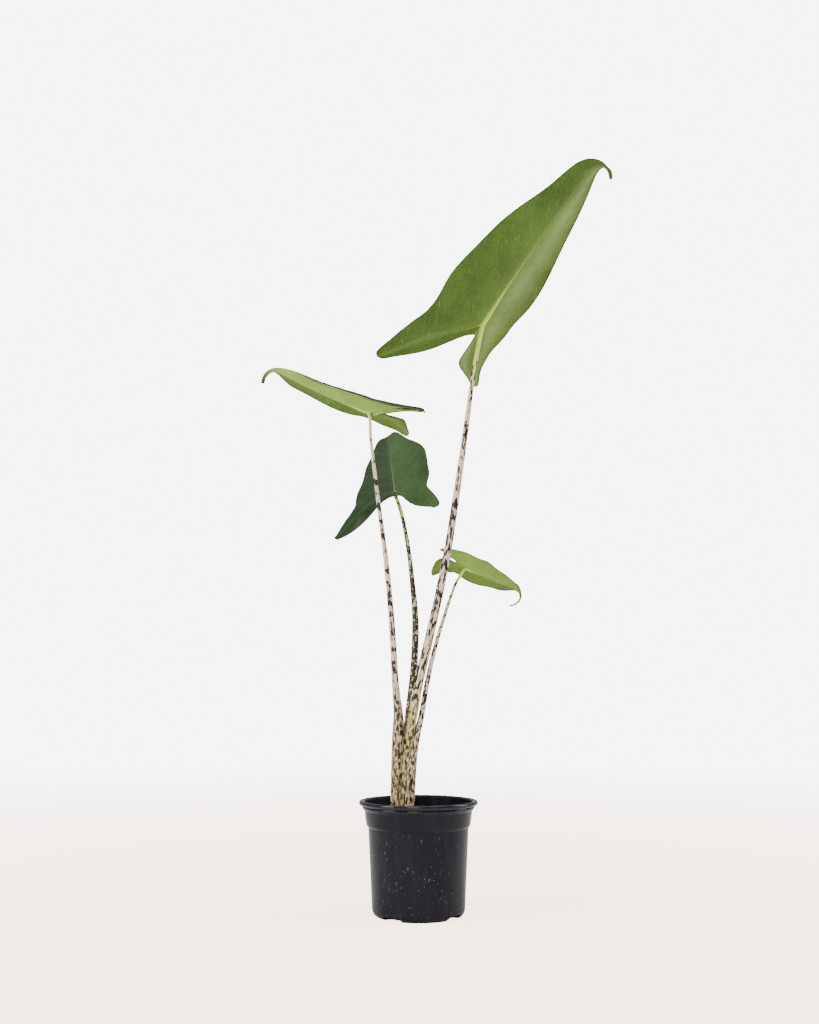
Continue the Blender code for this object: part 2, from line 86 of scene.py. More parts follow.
# x, y, z and radius of each petiole, from the corm up to just under its blade
PETIOLES = {
    "tall": [
        (-0.0185, -0.0020, 0.0880, 0.0052), (-0.0155, -0.0020, 0.1400, 0.0050),
        (-0.0102, -0.0015, 0.1860, 0.0052), (0.0000, 0.0000, 0.2460, 0.0052),
        (0.0137, 0.0000, 0.3040, 0.0049), (0.0314, 0.0000, 0.3850, 0.0044),
        (0.0449, 0.0000, 0.4680, 0.0038), (0.0572, 0.0000, 0.5520, 0.0030),
        (0.0644, 0.0000, 0.6030, 0.0026), (0.0705, 0.0000, 0.6370, 0.0025)],
    "back": [
        (-0.0165, 0.0068, 0.0880, 0.0062), (-0.0140, 0.0080, 0.1400, 0.0058),
        (-0.0108, 0.0140, 0.2050, 0.0048), (-0.0047, 0.0250, 0.2650, 0.0042),
        (-0.0030, 0.0340, 0.3200, 0.0038), (-0.0063, 0.0400, 0.3620, 0.0030),
        (-0.0118, 0.0460, 0.4080, 0.0026), (-0.0195, 0.0520, 0.4470, 0.0023)],
    "left": [
        (-0.0245, -0.0020, 0.0880, 0.0066), (-0.0238, -0.0020, 0.1400, 0.0066),
        (-0.0220, -0.0010, 0.1990, 0.0066), (-0.0221, -0.0010, 0.2140, 0.0053),
        (-0.0252, 0.0000, 0.2450, 0.0040), (-0.0293, 0.0000, 0.3110, 0.0034),
        (-0.0363, 0.0000, 0.3850, 0.0029), (-0.0456, 0.0000, 0.4550, 0.0023),
        (-0.0541, 0.0000, 0.5240, 0.0018)],
    "low": [
        (-0.0116, -0.0030, 0.0880, 0.0066), (-0.0092, -0.0030, 0.1400, 0.0062),
        (-0.0040, -0.0010, 0.1800, 0.0045), (0.0034, 0.0040, 0.2120, 0.0034),
        (0.0105, 0.0120, 0.2510, 0.0029), (0.0203, 0.0210, 0.2917, 0.0024),
        (0.0308, 0.0320, 0.3257, 0.0021), (0.0383, 0.0410, 0.3477, 0.0018),
        (0.0439, 0.0470, 0.3622, 0.0016), (0.0488, 0.0500, 0.3706, 0.0015)],
}
NESTING = ("tall", "back", "left", "low")   # each base is hollowed round those before it

# Half of the flat blade, across and along, in midrib lengths; its lobe ends rounder than the solid's
OUTER = [(0.0, 1.07), (0.0075, 1.064), (0.0115, 1.03), (0.019, 0.99), (0.040, 0.94), (0.100, 0.84),
         (0.170, 0.62), (0.230, 0.38), (0.268, 0.17), (0.262, 0.02), (0.272, -0.12), (0.318, -0.29),
         (0.350, -0.398), (0.353, -0.431), (0.337, -0.453)]
NOTCH = 0.062               # from the stalk back to the notch between the lobes
INNER = [(0.0, -NOTCH), (0.030, -0.085), (0.095, -0.165), (0.205, -0.315),
         (0.278, -0.415), (0.297, -0.443), (0.316, -0.457), (0.337, -0.453)]
COSTA = [(0.0, 0.0), (0.090, -0.095), (0.190, -0.230), (0.290, -0.390), (0.337, -0.453)]
COSTA_REACH = 0.56          # straight from the stalk to the lobe's end, in midrib lengths
TIP = 1.07                  # end of the drip tip, in midrib lengths from the stalk
CURL_START = 0.84           # where the drip tip starts to curl
BLADE = 0.0007              # thickness of the blade
RIB_HALF = 0.0022           # half width of the midrib at the stalk
RIB_DEPTH = 0.0018          # how far it stands out underneath there
RIB_LENGTH = 0.2            # midrib length that these two hold for
# What is added to the thickness of each drip tip
TIP_DEPTHS = {"tall": 0.0020, "left": 0.0030, "back": 0.0020, "low": 0.0023}
VEIN_LEAN = 0.105           # how far the side veins run towards the tip, in rib lengths
LOBE_LEAN = 0.09            # the same between costa and notch, the other way
# Where along the blade its halves are made fuller, and over what reach: tip, belly, waist, lobe
STATIONS = ((0.78, 0.16), (0.40, 0.22), (0.0, 0.16), (-0.32, 0.14))
# Angles in degrees; pairs are the left and the right half, seen from above, tip forward. Folds,
# bends and fullness were drawn finer than in the solids, so a blade lies up to 6 mm off its own.
LEAVES = {
    "tall": dict(at=(0.0738, 0.0000, 0.661), heading=-37.2, rise=48.3, roll=7.1,
                 midrib=0.2379, width=1.184, lobe=(0.669, 0.771), spread=(0.879, 1.122),
                 fold=(30.1, 24.4), cup=(-63.3, -7.1), arch=5.8, curl=138.2,
                 bend=(-13.3, -2.4), twist=-4.4, tail=0.0312, notch=NOTCH,
                 full=((0.015, 0.030, -0.046, -0.112), (-0.149, 0.027, 0.028, 0.001)),
                 inner=(0.082, 0.034)),
    "left": dict(at=(-0.0564, 0.0000, 0.5572), heading=187.0, rise=18.0, roll=-7.5,
                 midrib=0.1279, width=1.073, lobe=(1.088, 0.9), spread=(1.237, 1.093),
                 fold=(23.8, 32.8), cup=(-2.9, -75.5), arch=-10.2, curl=115.2,
                 bend=(-10.8, -7.8), twist=14.5, tail=0.1019, notch=0.085,
                 full=((-0.037, -0.062, 0.097, 0.054), (0.406, 0.154, 0.080, -0.047)),
                 inner=(-0.035, 0.080)),
    "back": dict(at=(-0.027, 0.0500, 0.4723), heading=95.6, rise=37.9, roll=-1.9,
                 midrib=0.1614, width=1.072, lobe=(1.072, 0.831), spread=(1.535, 0.821),
                 fold=(4.2, 27.0), cup=(-45.4, 12.8), arch=-1.0, curl=71.5,
                 bend=(67.2, 12.2), twist=-21.7, tail=0.0724, notch=NOTCH,
                 full=((-0.038, 0.000, 0.170, 0.120), (-0.018, 0.200, 0.045, 0.046)),
                 inner=(0.045, 0.057)),
    "low": dict(at=(0.0571, 0.0520, 0.3821), heading=33.3, rise=-18.4, roll=31.2,
                midrib=0.0854, width=1.046, lobe=(0.992, 1.481), spread=(1.28, 1.024),
                fold=(-10.0, 41.1), cup=(-74.3, 30.4), arch=-3.9, curl=153.7,
                bend=(40.3, 26.0), twist=-29.4, tail=0.2919, notch=0.195,
                full=((0.19, 0.088, -0.034, 0.042), (-0.061, -0.064, 0.031, -0.069)),
                inner=(0.100, 0.045)),
}
# How much painted sheen, pale colour laid where a soft glossy highlight falls, lies across each
# under side and every upper side: right margin 0.0, midrib 0.5, left margin 1.0
PAINTED_SHEEN = {
    "tall": ((0.28, 0.0), (0.50, 0.16), (0.60, 0.30), (0.79, 0.85), (0.89, 0.50), (0.98, 0.0)),
    "left": ((0.06, 0.0), (0.28, 0.20), (0.45, 0.52), (0.53, 0.14), (0.78, 0.15), (0.96, 0.0)),
    "back": ((0.0, 0.1), (0.5, 0.25), (1.0, 0.1)),
    "low": ((0.05, 0.0), (0.30, 0.16), (0.48, 0.22), (0.56, 0.04), (1.0, 0.0)),
    "upper": ((0.0, 0.0), (0.15, 0.03), (0.40, 0.025), (0.50, 0.0)),
}
# How far along the midrib's under side its pale colour reaches, as a share of the tall leaf's
RIB_SHOWS = {"tall": 1.0, "left": 0.75, "back": 0.9, "low": 0.60}
# How wide a strip of the left and the right half's margin is rolled down
ROLLED = {"tall": (0.0010, 0.0010), "left": (0.0088, 0.0010), "back": (0.0008, 0.0008),
          "low": (0.0010, 0.0010)}
ROLL = math.radians(112)    # how far the margin turns
MARGIN_WAVE = 0.0007        # how far the margin of a blade waves up and down
FIELD_PUFF = 0.00011        # how far a blade puffs up between its side veins
RIB_SINK = 0.00035          # how deep its midrib is sunk above
SOIL_LUMP = 0.0006          # half height of the soil's lumps
RIM_EDGE = 0.0012           # height of the rim's top, which stays clean
# Columns of points beside the rib, over the field and at the margin, for the two strips of a half
COLUMNS = {"outer": (6, 18, 9), "notch": (6, 12, 5)}
ROWS = (60, 110, 70)        # rows of points: curled tip, rest of the midrib, costa

# ---- how finely round things are made ------------------------------------------------------------
POT_SIDES = 216
SOIL_SIDES = 120
STALK_SIDES = 44
VEIN_SIDES = 8
FLOOR_SIDES = 96
SLOT_STEPS = 17
CURVE_STEPS = 2400          # points that the length of a curve is measured with
BEND_STEPS = 600            # points that the bend of a blade is summed over, for each of its parts
BUNDLE_RING = 0.0016        # distance between two rings in the bundle of petioles
STALK_RINGS = 190           # rings above the bundle
LEVEL_STEPS = 900           # points that a petiole's centre at a level is found from
RUN_STEPS = 3000            # points that the start of the rings above the bundle is found from
CORNER_STEPS = 8

# ---- stage: radiances and distances --------------------------------------------------------------
ROOM_LIGHT = 0.50            # the room, as it lights the plant
ROOM_GLOW = 8.0              # the room, as the camera sees it
PAPER_GLOW = 5.0             # added to the paper, as the camera sees it
PAPER_GAIN = 0.7             # how bright the camera sees the lit paper, as a share
PAPER_FADE = (0.15, 2.6)     # from the axis, where the paper starts to fade into the room and ends
PAPER_RADIUS = 4.0
LIGHTS_FACE = (0.0, 0.0, 0.35)
SOFT_BOXES = (               # name, place, width and height, radiance
    ("soft_box_top", (0.0, -0.3, 2.3), (2.2, 2.2), 2.2),
    ("soft_box_left", (-1.8, -0.9, 1.15), (0.9, 1.8), 7.3),
    ("soft_box_right", (1.9, 0.3, 1.15), (0.9, 1.8), 4.8),
    ("soft_box_front", (-0.5, -2.6, 1.0), (1.0, 1.6), 5.0),
)


# ---- settings --------------------------------------------------------------------------------
def linear(code):
    """Linear colour from an sRGB hex code."""
    values = [int(code[i:i + 2], 16) / 255 for i in (1, 3, 5)]
    return tuple(v / 12.92 if v <= 0.04045 else ((v + 0.055) / 1.055) ** 2.4 for v in values)


def colour_prop(name, code, words):
    return FloatVectorProperty(name=name, description=words, subtype='COLOR', size=3, min=0.0,
                               max=1.0, default=linear(code))


def length_prop(name, value, words):
    return FloatProperty(name=name, description=words, default=value, min=0.0, subtype='DISTANCE',
                         unit='LENGTH', precision=4)


class AlocasiaPot(bpy.types.PropertyGroup):
    """Sizes and colours of the nursery pot."""
    wall: length_prop("Wall", WALL, "Thickness of the wall")
    slots: IntProperty(name="Drain slots", description="Slots round the foot", default=SLOTS, min=1)
    plastic: colour_prop("Plastic", "#0A0915", "Colour of the moulded plastic")
    marks: colour_prop("Water marks", "#9C9C9A", "Colour of the dried water marks")


class AlocasiaSoil(bpy.types.PropertyGroup):
    """Potting soil."""
    crumb: length_prop("Crumb", 0.0032, "Width of a middling crumb")
    crumbs: FloatProperty(name="Crumbs", description="Crumbs per square metre", default=150000.0, min=0.0)
    seed: IntProperty(name="Seed", description="Seed of the crumbs' places", default=7, min=0)
    peat: colour_prop("Peat", "#2A1F18", "Colour of moist peat")
    bark: colour_prop("Bark", "#5A4130", "Colour of the bark bits")
    fibre: colour_prop("Fibre", "#A08C66", "Colour of the few pale fibre bits")


class AlocasiaLeaves(bpy.types.PropertyGroup):
    """Colours and vein sizes of the blades. Halves are named as seen from above, tip forward;
    each half's colour is set lighter or darker to how that half is lit, as painted light and shade.
    """
    upper_left: colour_prop("Upper side, left", "#182F0E", "Upper side of the blades, left half")
    upper_right: colour_prop("Upper side, right", "#2C4420", "Upper side of the blades, right half")
    tall_left: colour_prop("Tall leaf, left", "#55772C", "Under side of the tall leaf, left half")
    tall_right: colour_prop("Tall leaf, right", "#4A6A24", "Under side of the tall leaf, right half")
    left_left: colour_prop("Left leaf, left", "#98BC50", "Under side of the left leaf, left half")
    left_right: colour_prop("Left leaf, right", "#5F7F36", "Under side of the left leaf, right half")
    back_left: colour_prop("Back leaf, left", "#5E7B3C", "Under side of the back leaf, left half")
    back_right: colour_prop("Back leaf, right", "#5E7B3C", "Under side of the back leaf, right half")
    low_left: colour_prop("Low leaf, left", "#638030", "Under side of the low leaf, left half")
    low_right: colour_prop("Low leaf, right", "#80A83E", "Under side of the low leaf, right half")
    rib_above: colour_prop("Midrib above", "#B4D28C", "Midrib and side veins of the upper side")
    rib: colour_prop("Ribs", "#D8EC70", "Midrib and costae")
    # painted sheen: pale colour that stands in for a soft glossy highlight on the blades
    painted_sheen: colour_prop("Painted sheen", "#9DB26C", "Waxy bloom on the under side")
    margin: colour_prop("Margin", "#45472F", "Thin line round the margin")
    vein_pairs: IntProperty(name="Veins", description="Side veins along each half", default=13, min=3)
    vein_radius: length_prop("Vein", 0.00016, "Radius of a side vein at its rib")


class AlocasiaPetioles(bpy.types.PropertyGroup):
    """Colours of the petioles."""
    band: colour_prop("Bands", "#22150B", "Dark brown bands and blotches")
    halo: colour_prop("Halo", "#A47A4E", "Brownish skin beside a band")
    net: colour_prop("Net", "#42301B", "Olive brown net on the bases")


class AlocasiaStage(bpy.types.PropertyGroup):
    """Floor, lights and camera."""
    floor: colour_prop("Floor", "#F4F2F0", "Colour of the floor")
    glow: colour_prop("Glow", "#F6DCC4", "Warm tint of the brightly lit floor")
    room: colour_prop("Room", "#F4F3F2", "Colour of the room behind it")
    lens: FloatProperty(name="Lens", description="Focal length", default=40.68, min=1.0, unit='CAMERA')
    tilt: FloatProperty(name="Tilt", description="Camera's angle above level", subtype='ANGLE',
                        default=math.radians(8.487))
    eye: FloatVectorProperty(name="Camera", description="Place of the camera", subtype='TRANSLATION',
                             size=3, unit='LENGTH', default=(-0.00977, -1.3, 0.24607))


# ---- nodes and objects -------------------------------------------------------------------------
def full(colour):
    """Colour with its alpha, from a grey or three channels."""
    if isinstance(colour, (int, float)):
        colour = (colour,) * 3
    return (*colour, 1.0)


def node(tree, kind, inputs=(), out=None, stops=(), **settings):
    """Add a node with its settings and links, and give one of its outputs.

    Inputs go by name, or by place where names repeat, and are values or other nodes' outputs.
    """
    made = tree.nodes.new(kind)
    for key, value in settings.items():
        setattr(made, key, value)
    for k, (place, colour) in enumerate(stops):
        if k == 0:
            made.color_ramp.elements.remove(made.color_ramp.elements[-1])
        spot = made.color_ramp.elements[0] if k == 0 else made.color_ramp.elements.new(place)
        spot.position, spot.color = place, full(colour)
    sockets = [s for s in made.inputs if s.enabled]
    for key, value in dict(inputs).items():
        socket = sockets[key] if isinstance(key, int) else next(s for s in sockets if s.name == key)
        for one in value if isinstance(value, list) else [value]:
            if isinstance(one, bpy.types.NodeSocket):
                tree.links.new(one, socket)
            else:
                socket.default_value = full(one) if socket.type == 'RGBA' else one
    outputs = [s for s in made.outputs if s.enabled]
    if out:
        return next(s for s in outputs if s.name == out)
    return outputs[0] if outputs else None


def new_material(name):
    """Empty material and its node tree."""
    made = bpy.data.materials.new(name)
    made.use_nodes = True
    made.node_tree.nodes.clear()
    return made, made.node_tree


def new_tree(name, **inputs):
    """Geometry node group with these inputs after its geometry."""
    tree = bpy.data.node_groups.new(name, 'GeometryNodeTree')
    tree.interface.new_socket("Geometry", in_out='INPUT', socket_type='NodeSocketGeometry')
    tree.interface.new_socket("Geometry", in_out='OUTPUT', socket_type='NodeSocketGeometry')
    for label, kind in inputs.items():
        tree.interface.new_socket(label.replace("_", " "), in_out='INPUT', socket_type='NodeSocket' + kind)
    return tree


def run_tree(holder, tree, **inputs):
    """Put the tree on an object with its inputs set by their identifiers."""
    modifier = holder.modifiers.new(tree.name, 'NODES')
    modifier.node_group = tree
    for item in tree.interface.items_tree:
        key = item.name.replace(" ", "_")
        if item.in_out == 'INPUT' and key in inputs:
            modifier[item.identifier] = inputs[key]


def object_from(name, verts, faces, skins=(), sharp=40.0):
    """Mesh object at the origin, smooth but for edges sharper than this angle."""
    mesh = bpy.data.meshes.new(name)
    mesh.from_pydata([tuple(v) for v in verts], [], faces)
    mesh.validate()
    return object_of(name, mesh, skins, sharp)


def object_of(name, mesh, skins=(), sharp=40.0):
    """Object of a mesh, in the scene and with its skins; flat where no angle is given."""
    if sharp:
        mesh.shade_smooth()
        mesh.set_sharp_from_angle(angle=math.radians(sharp))
    for skin in skins:
        mesh.materials.append(skin)
    made = bpy.data.objects.new(name, mesh)
    bpy.context.scene.collection.objects.link(made)
    return made


def plain_mesh(source, name, sharp=0.0):
    """Object whose mesh is what the source's modifiers give; the source goes."""
    depsgraph = bpy.context.evaluated_depsgraph_get()
    mesh = bpy.data.meshes.new_from_object(source.evaluated_get(depsgraph), depsgraph=depsgraph)
    bpy.data.objects.remove(source, do_unlink=True)
    mesh.name = name
    return object_of(name, mesh, (), sharp)


def face_out(mesh):
    """Turn the faces of closed shells outwards."""
    bm = bmesh.new()
    bm.from_mesh(mesh)
    bmesh.ops.recalc_face_normals(bm, faces=bm.faces)
    bm.to_mesh(mesh)
    bm.free()


def put_attribute(mesh, name, values, kind='FLOAT'):
    """Give each point a value that the skin reads."""
    layer = mesh.attributes.new(name, kind, 'POINT')
    layer.data.foreach_set("value" if kind == 'FLOAT' else "vector", np.asarray(values, np.float32).ravel())


def settle(piece, nodes):
    """The piece rides on the body and stands for these solids."""
    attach(piece, "root")
    if nodes:
        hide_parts(*nodes)


# ---- curves and surfaces -------------------------------------------------------------------------
def smoothstep(x):
    """From 0 to 1 with soft ends."""
    x = np.clip(x, 0.0, 1.0)
    return x * x * (3.0 - 2.0 * x)


def spline(points, samples, by=3):
    """Centripetal Catmull-Rom curve at the given fractions of its length."""
    p = np.array(points, float)
    step = np.sqrt(np.linalg.norm(np.diff(p[:, :by], axis=0), axis=1))
    knots = np.concatenate([[0.0], np.cumsum(step)])
    p = np.vstack([2 * p[0] - p[1], p, 2 * p[-1] - p[-2]])
    knots = np.concatenate([[-step[0]], knots, [knots[-1] + step[-1]]])
    x = np.linspace(knots[1], knots[-2], CURVE_STEPS)
    i = np.clip(np.searchsorted(knots, x, side='right') - 1, 1, len(p) - 3)
    k = [knots[i + j] for j in (-1, 0, 1, 2)]
    q = [p[i + j] for j in (-1, 0, 1, 2)]

    def mixed(a, b, ka, kb):
        return ((kb - x) / (kb - ka))[:, None] * a + ((x - ka) / (kb - ka))[:, None] * b
    a1, a2, a3 = (mixed(q[j], q[j + 1], k[j], k[j + 1]) for j in range(3))
    b1, b2 = mixed(a1, a2, k[0], k[2]), mixed(a2, a3, k[1], k[3])
    curve = mixed(b1, b2, k[1], k[2])
    run = np.concatenate([[0.0], np.cumsum(np.linalg.norm(np.diff(curve[:, :by], axis=0), axis=1))])
    want = np.asarray(samples) * run[-1]
    return np.stack([np.interp(want, run, curve[:, c]) for c in range(curve.shape[1])], 1)


def turned(profile, sides):
    """Vertices and faces of a closed body turned about Z; the profile starts and ends on the axis."""
    verts, rings, faces = [], [], []
    for radius, height in profile:
        if radius < 1e-9:
            rings.append([len(verts)] * sides)
            verts.append((0.0, 0.0, height))
            continue
        rings.append(list(range(len(verts), len(verts) + sides)))
        verts += [(radius * math.sin(turn), -radius * math.cos(turn), height)
                  for turn in (2 * math.pi * k / sides for k in range(sides))]
    for low, high in zip(rings, rings[1:]):
        for k in range(sides):
            n = (k + 1) % sides
            corners = [low[k], low[n], high[n], high[k]]
            faces.append([v for i, v in enumerate(corners) if v not in corners[:i]])
    return verts, faces


def rounded(points, radius, steps=5):
    """Profile with each inner corner rounded off."""
    out = [points[0]]
    for a, b, c in zip(points, points[1:], points[2:]):
        a, b, c = (np.array(p) for p in (a, b, c))
        back, on = a - b, c - b
        size = min(radius, np.linalg.norm(back) * 0.45, np.linalg.norm(on) * 0.45)
        start, end = b + back / np.linalg.norm(back) * size, b + on / np.linalg.norm(on) * size
        for t in np.linspace(0, 1, steps):
            out.append(tuple((1 - t) ** 2 * start + 2 * t * (1 - t) * b + t * t * end))
    out.append(points[-1])
    return out


# ---- pot -----------------------------------------------------------------------------------------
def body_radius(height):
    """Outside radius of the tapering body."""
    top = POT_HEIGHT - COLLAR_DEPTH
    return BODY_LOW_RADIUS + (BODY_TOP_RADIUS - BODY_LOW_RADIUS) * (height - CORNER) / (top - CORNER)


def pot_profile():
    """Outside from the middle of the foot up to the rolled rim, then the inside down again."""
    top, step = POT_HEIGHT, POT_HEIGHT - COLLAR_DEPTH
    outside = [(0.0, 0.0), (FOOT_RADIUS, 0.0)]
    for k in range(1, CORNER_STEPS + 1):
        turn = math.radians(90 * k / CORNER_STEPS)
        outside.append((FOOT_RADIUS + (BODY_LOW_RADIUS - FOOT_RADIUS) * math.sin(turn),
                        CORNER * (1 - math.cos(turn))))
    outside += [(body_radius(h), h) for h in np.linspace(CORNER + 0.008, step - 0.0018, 10)]
    lip = [(body_radius(step - 0.0008), step - 0.0008),
           (COLLAR_LOW_RADIUS - 0.0006, step + 0.0008), (COLLAR_LOW_RADIUS, step + 0.0024),
           (COLLAR_TOP_RADIUS - 0.0002, top - 0.0104), (COLLAR_TOP_RADIUS + 0.0014, top - 0.0090),
           (COLLAR_TOP_RADIUS + 0.0026, top - 0.0068), (COLLAR_TOP_RADIUS + 0.0016, top - 0.0050),
           (RIM_RADIUS - 0.0010, top - 0.0047), (RIM_RADIUS, top - 0.0034),
           (RIM_RADIUS, top - 0.0012), (RIM_RADIUS - 0.0010, top)]
    low = FLOOR + CORNER * 0.8
    inside = [(RIM_RADIUS - 0.0030, top), (RIM_RADIUS - 0.0052, top - 0.0006),
              (COLLAR_TOP_RADIUS - WALL, top - 0.0022), (COLLAR_LOW_RADIUS - WALL, step + 0.0022),
              (body_radius(step) - WALL, step - 0.0004), (body_radius(low) - WALL, low),
              (body_radius(low) - WALL - 0.0016, FLOOR + 0.0024), (FOOT_RADIUS, FLOOR), (0.0, FLOOR)]
    return outside + rounded([outside[-1]] + lip + inside, 0.0009)[1:]


def slot_wedge():
    """Wedge through the corner between foot and wall, at the front, that slopes off at its ends."""
    rings, faces = [], []
    for share in np.linspace(0, 1, SLOT_STEPS):
        turn = math.radians(SLOT_SPAN * (share - 0.5))
        # nearly full height over the middle half of the span, a tenth of it at the ends
        end = math.sqrt(max(0.0, 1 - abs(2 * share - 1) ** 3))
        height = SLOT_HEIGHT * (0.10 + 0.90 * end)
        inner, outer = FOOT_RADIUS - SLOT_DEPTH * (0.55 + 0.45 * end), BODY_LOW_RADIUS + 0.004
        rings.append([(r * math.sin(turn), -r * math.cos(turn), z)
                      for r, z in ((inner, -0.002), (outer, -0.002), (outer, height), (inner, height))])
    for i in range(len(rings) - 1):
        faces += [[4 * i + k, 4 * i + (k + 1) % 4, 4 * i + 4 + (k + 1) % 4, 4 * i + 4 + k] for k in range(4)]
    faces += [[3, 2, 1, 0], [len(rings) * 4 - 4 + k for k in range(4)]]
    wedge = object_from("slot_wedge", [p for ring in rings for p in ring], faces, sharp=0)
    face_out(wedge.data)
    return wedge


def slot_tree():
    """Repeats a wedge round the axis."""
    tree = new_tree("drain_slots", Slots="Int", First="Float", Material="Material")
    slots = node(tree, "NodeGroupInput", out="Slots")
    step = node(tree, "ShaderNodeMath", {0: math.tau, 1: slots}, operation='DIVIDE')
    turn = node(tree, "ShaderNodeMath", {0: node(tree, "GeometryNodeInputIndex"), 1: step,
                                         2: node(tree, "NodeGroupInput", out="First")},
                operation='MULTIPLY_ADD')
    around = node(tree, "GeometryNodeInstanceOnPoints",
                  {"Points": node(tree, "GeometryNodePoints", {"Count": slots}),
                   "Instance": node(tree, "NodeGroupInput", out="Geometry"),
                   "Rotation": node(tree, "ShaderNodeCombineXYZ", {"Z": turn})})
    real = node(tree, "GeometryNodeRealizeInstances", {"Geometry": around})
    skin = node(tree, "GeometryNodeSetMaterial",
                {"Geometry": real, "Material": node(tree, "NodeGroupInput", out="Material")})
    node(tree, "NodeGroupOutput", {"Geometry": skin})
    return tree


def moulded_polypropylene(name, sizes, inside):
    """Polypropylene, moulded thin: near black and satin, so that edges catch soft light.

    The rolled rim came smoother out of the mould and is glossier. Inside, its reflection is cut
    down and spread, so that the wall looks as dark as the shade in the pot: painted shade. Handling
    leaves faint upright scuffs, and watering leaves pale specks of lime about 1 mm wide, most of them
    on the lower wall.
    """
    made, tree = new_material(name)
    place = node(tree, "ShaderNodeTexCoord", out="Object")
    height = node(tree, "ShaderNodeSeparateXYZ", {"Vector": place}, out="Z")
    low = node(tree, "ShaderNodeMapRange", {"Value": height, "From Min": 0.100, "From Max": 0.085,
                                            "To Min": 0.18, "To Max": 1.0})
    # specks: cells 4 mm apart, in clusters 30 mm across
    cells = node(tree, "ShaderNodeTexVoronoi", {"Vector": place, "Scale": 230.0}, out="Distance")
    cluster = node(tree, "ShaderNodeTexNoise", {"Vector": place, "Scale": 33.0, "Detail": 3.0,
                                                "Roughness": 0.7})
    reach = node(tree, "ShaderNodeMapRange", {"Value": cluster, "From Min": 0.46, "From Max": 0.75,
                                              "To Min": 0.0, "To Max": 0.24})
    speck = node(tree, "ShaderNodeMath", {0: cells, 1: reach}, operation='LESS_THAN')
    # scratches 0.8 mm wide and 3 mm long, leaning
    leaning = node(tree, "ShaderNodeMapping", {"Vector": place, "Rotation": (0.35, 0.3, 0.0),
                                               "Scale": (600.0, 600.0, 170.0)})
    scratch = node(tree, "ShaderNodeTexNoise", {"Vector": leaning, "Scale": 1.0, "Detail": 1.0})
    scratch = node(tree, "ShaderNodeMapRange", {"Value": scratch, "From Min": 0.68, "From Max": 0.78,
                                                "To Min": 0.0, "To Max": 0.5})
    marks = node(tree, "ShaderNodeMath", {0: node(tree, "ShaderNodeMath", {0: speck, 1: scratch},
                                                  operation='MAXIMUM'), 1: low}, operation='MULTIPLY')
    upright = node(tree, "ShaderNodeMapping", {"Vector": place, "Scale": (1.0, 1.0, 0.2)})
    scuff = node(tree, "ShaderNodeTexNoise", {"Vector": upright, "Scale": 95.0, "Detail": 4.0,
                                              "Roughness": 0.6})
    dust = node(tree, "ShaderNodeMapRange", {"Value": scuff, "From Min": 0.45, "From Max": 0.80,
                                             "To Min": 0.0, "To Max": 0.03})
    colour = node(tree, "ShaderNodeMix", {"Factor": dust, "A": tuple(sizes.plastic),
                                          "B": tuple(sizes.marks)}, data_type='RGBA')
    faint = node(tree, "ShaderNodeMath", {0: marks, 1: 0.45}, operation='MULTIPLY')
    colour = node(tree, "ShaderNodeMix", {"Factor": faint, "A": colour, "B": tuple(sizes.marks)},
                  data_type='RGBA')
    rough = node(tree, "ShaderNodeMapRange", {"Value": scuff, "From Min": 0.3, "From Max": 0.7,
                                              "To Min": 0.20, "To Max": 0.33})
    rim = node(tree, "ShaderNodeMapRange", {"Value": height, "From Min": POT_HEIGHT - 0.010,
                                            "From Max": POT_HEIGHT - 0.004})
    smoother = node(tree, "ShaderNodeMapRange", {"Value": rim, "To Min": 1.0, "To Max": 0.5})
    rough = node(tree, "ShaderNodeMath", {0: rough, 1: smoother}, operation='MULTIPLY')
    gloss = node(tree, "ShaderNodeMapRange", {"Value": rim, "To Min": 0.24, "To Max": 0.45})
    bump = node(tree, "ShaderNodeBump", {"Height": scuff, "Strength": 0.10, "Distance": 0.0005},
                out="Normal")
    surface = node(tree, "ShaderNodeBsdfPrincipled",
                   {"Base Color": colour, "Roughness": 0.75 if inside else rough, "Normal": bump,
                    "IOR": 1.49, "Specular IOR Level": 0.11 if inside else gloss})
    node(tree, "ShaderNodeOutputMaterial", {"Surface": surface})
    return made


def build_pot(sizes):
    """Turned pot with its drain slots cut out, duller inside as painted shade."""
    skin = moulded_polypropylene("moulded_polypropylene", sizes, False)
    # the inside's copy reflects less, so that the wall looks as dark as shade leaves it: painted shade
    shaded_inside_skin = moulded_polypropylene("soiled_polypropylene", sizes, True)
    verts, faces = turned(pot_profile(), POT_SIDES)
    pot = object_from("pot_wall", verts, faces, [skin, shaded_inside_skin])
    face_out(pot.data)
    wedge = slot_wedge()
    run_tree(wedge, slot_tree(), Slots=sizes.slots, First=math.radians(FIRST_SLOT), Material=skin)
    wedges = plain_mesh(wedge, "slot_wedges")
    cut = pot.modifiers.new("slots", 'BOOLEAN')
    cut.operation, cut.solver, cut.object = 'DIFFERENCE', 'EXACT', wedges
    done = plain_mesh(pot, "pot_wall", sharp=35.0)
    bpy.data.objects.remove(wedges, do_unlink=True)
    for face in done.data.polygons:
        inwards = face.normal.x * face.center.x + face.normal.y * face.center.y < 0
        if inwards and FLOOR < face.center.z < POT_HEIGHT - RIM_EDGE:
            face.material_index = 1
    settle(done, ["nursery_pot"])


# ---- soil ----------------------------------------------------------------------------------------
def soil_height(x, y):
    """Height of the soil, which is mounded up round the petioles."""
    away = ((x - POCKET[0]) ** 2 + (y - POCKET[1]) ** 2) / MOUND_REACH ** 2
    return SOIL_EDGE + SOIL_MOUND * np.exp(-away)


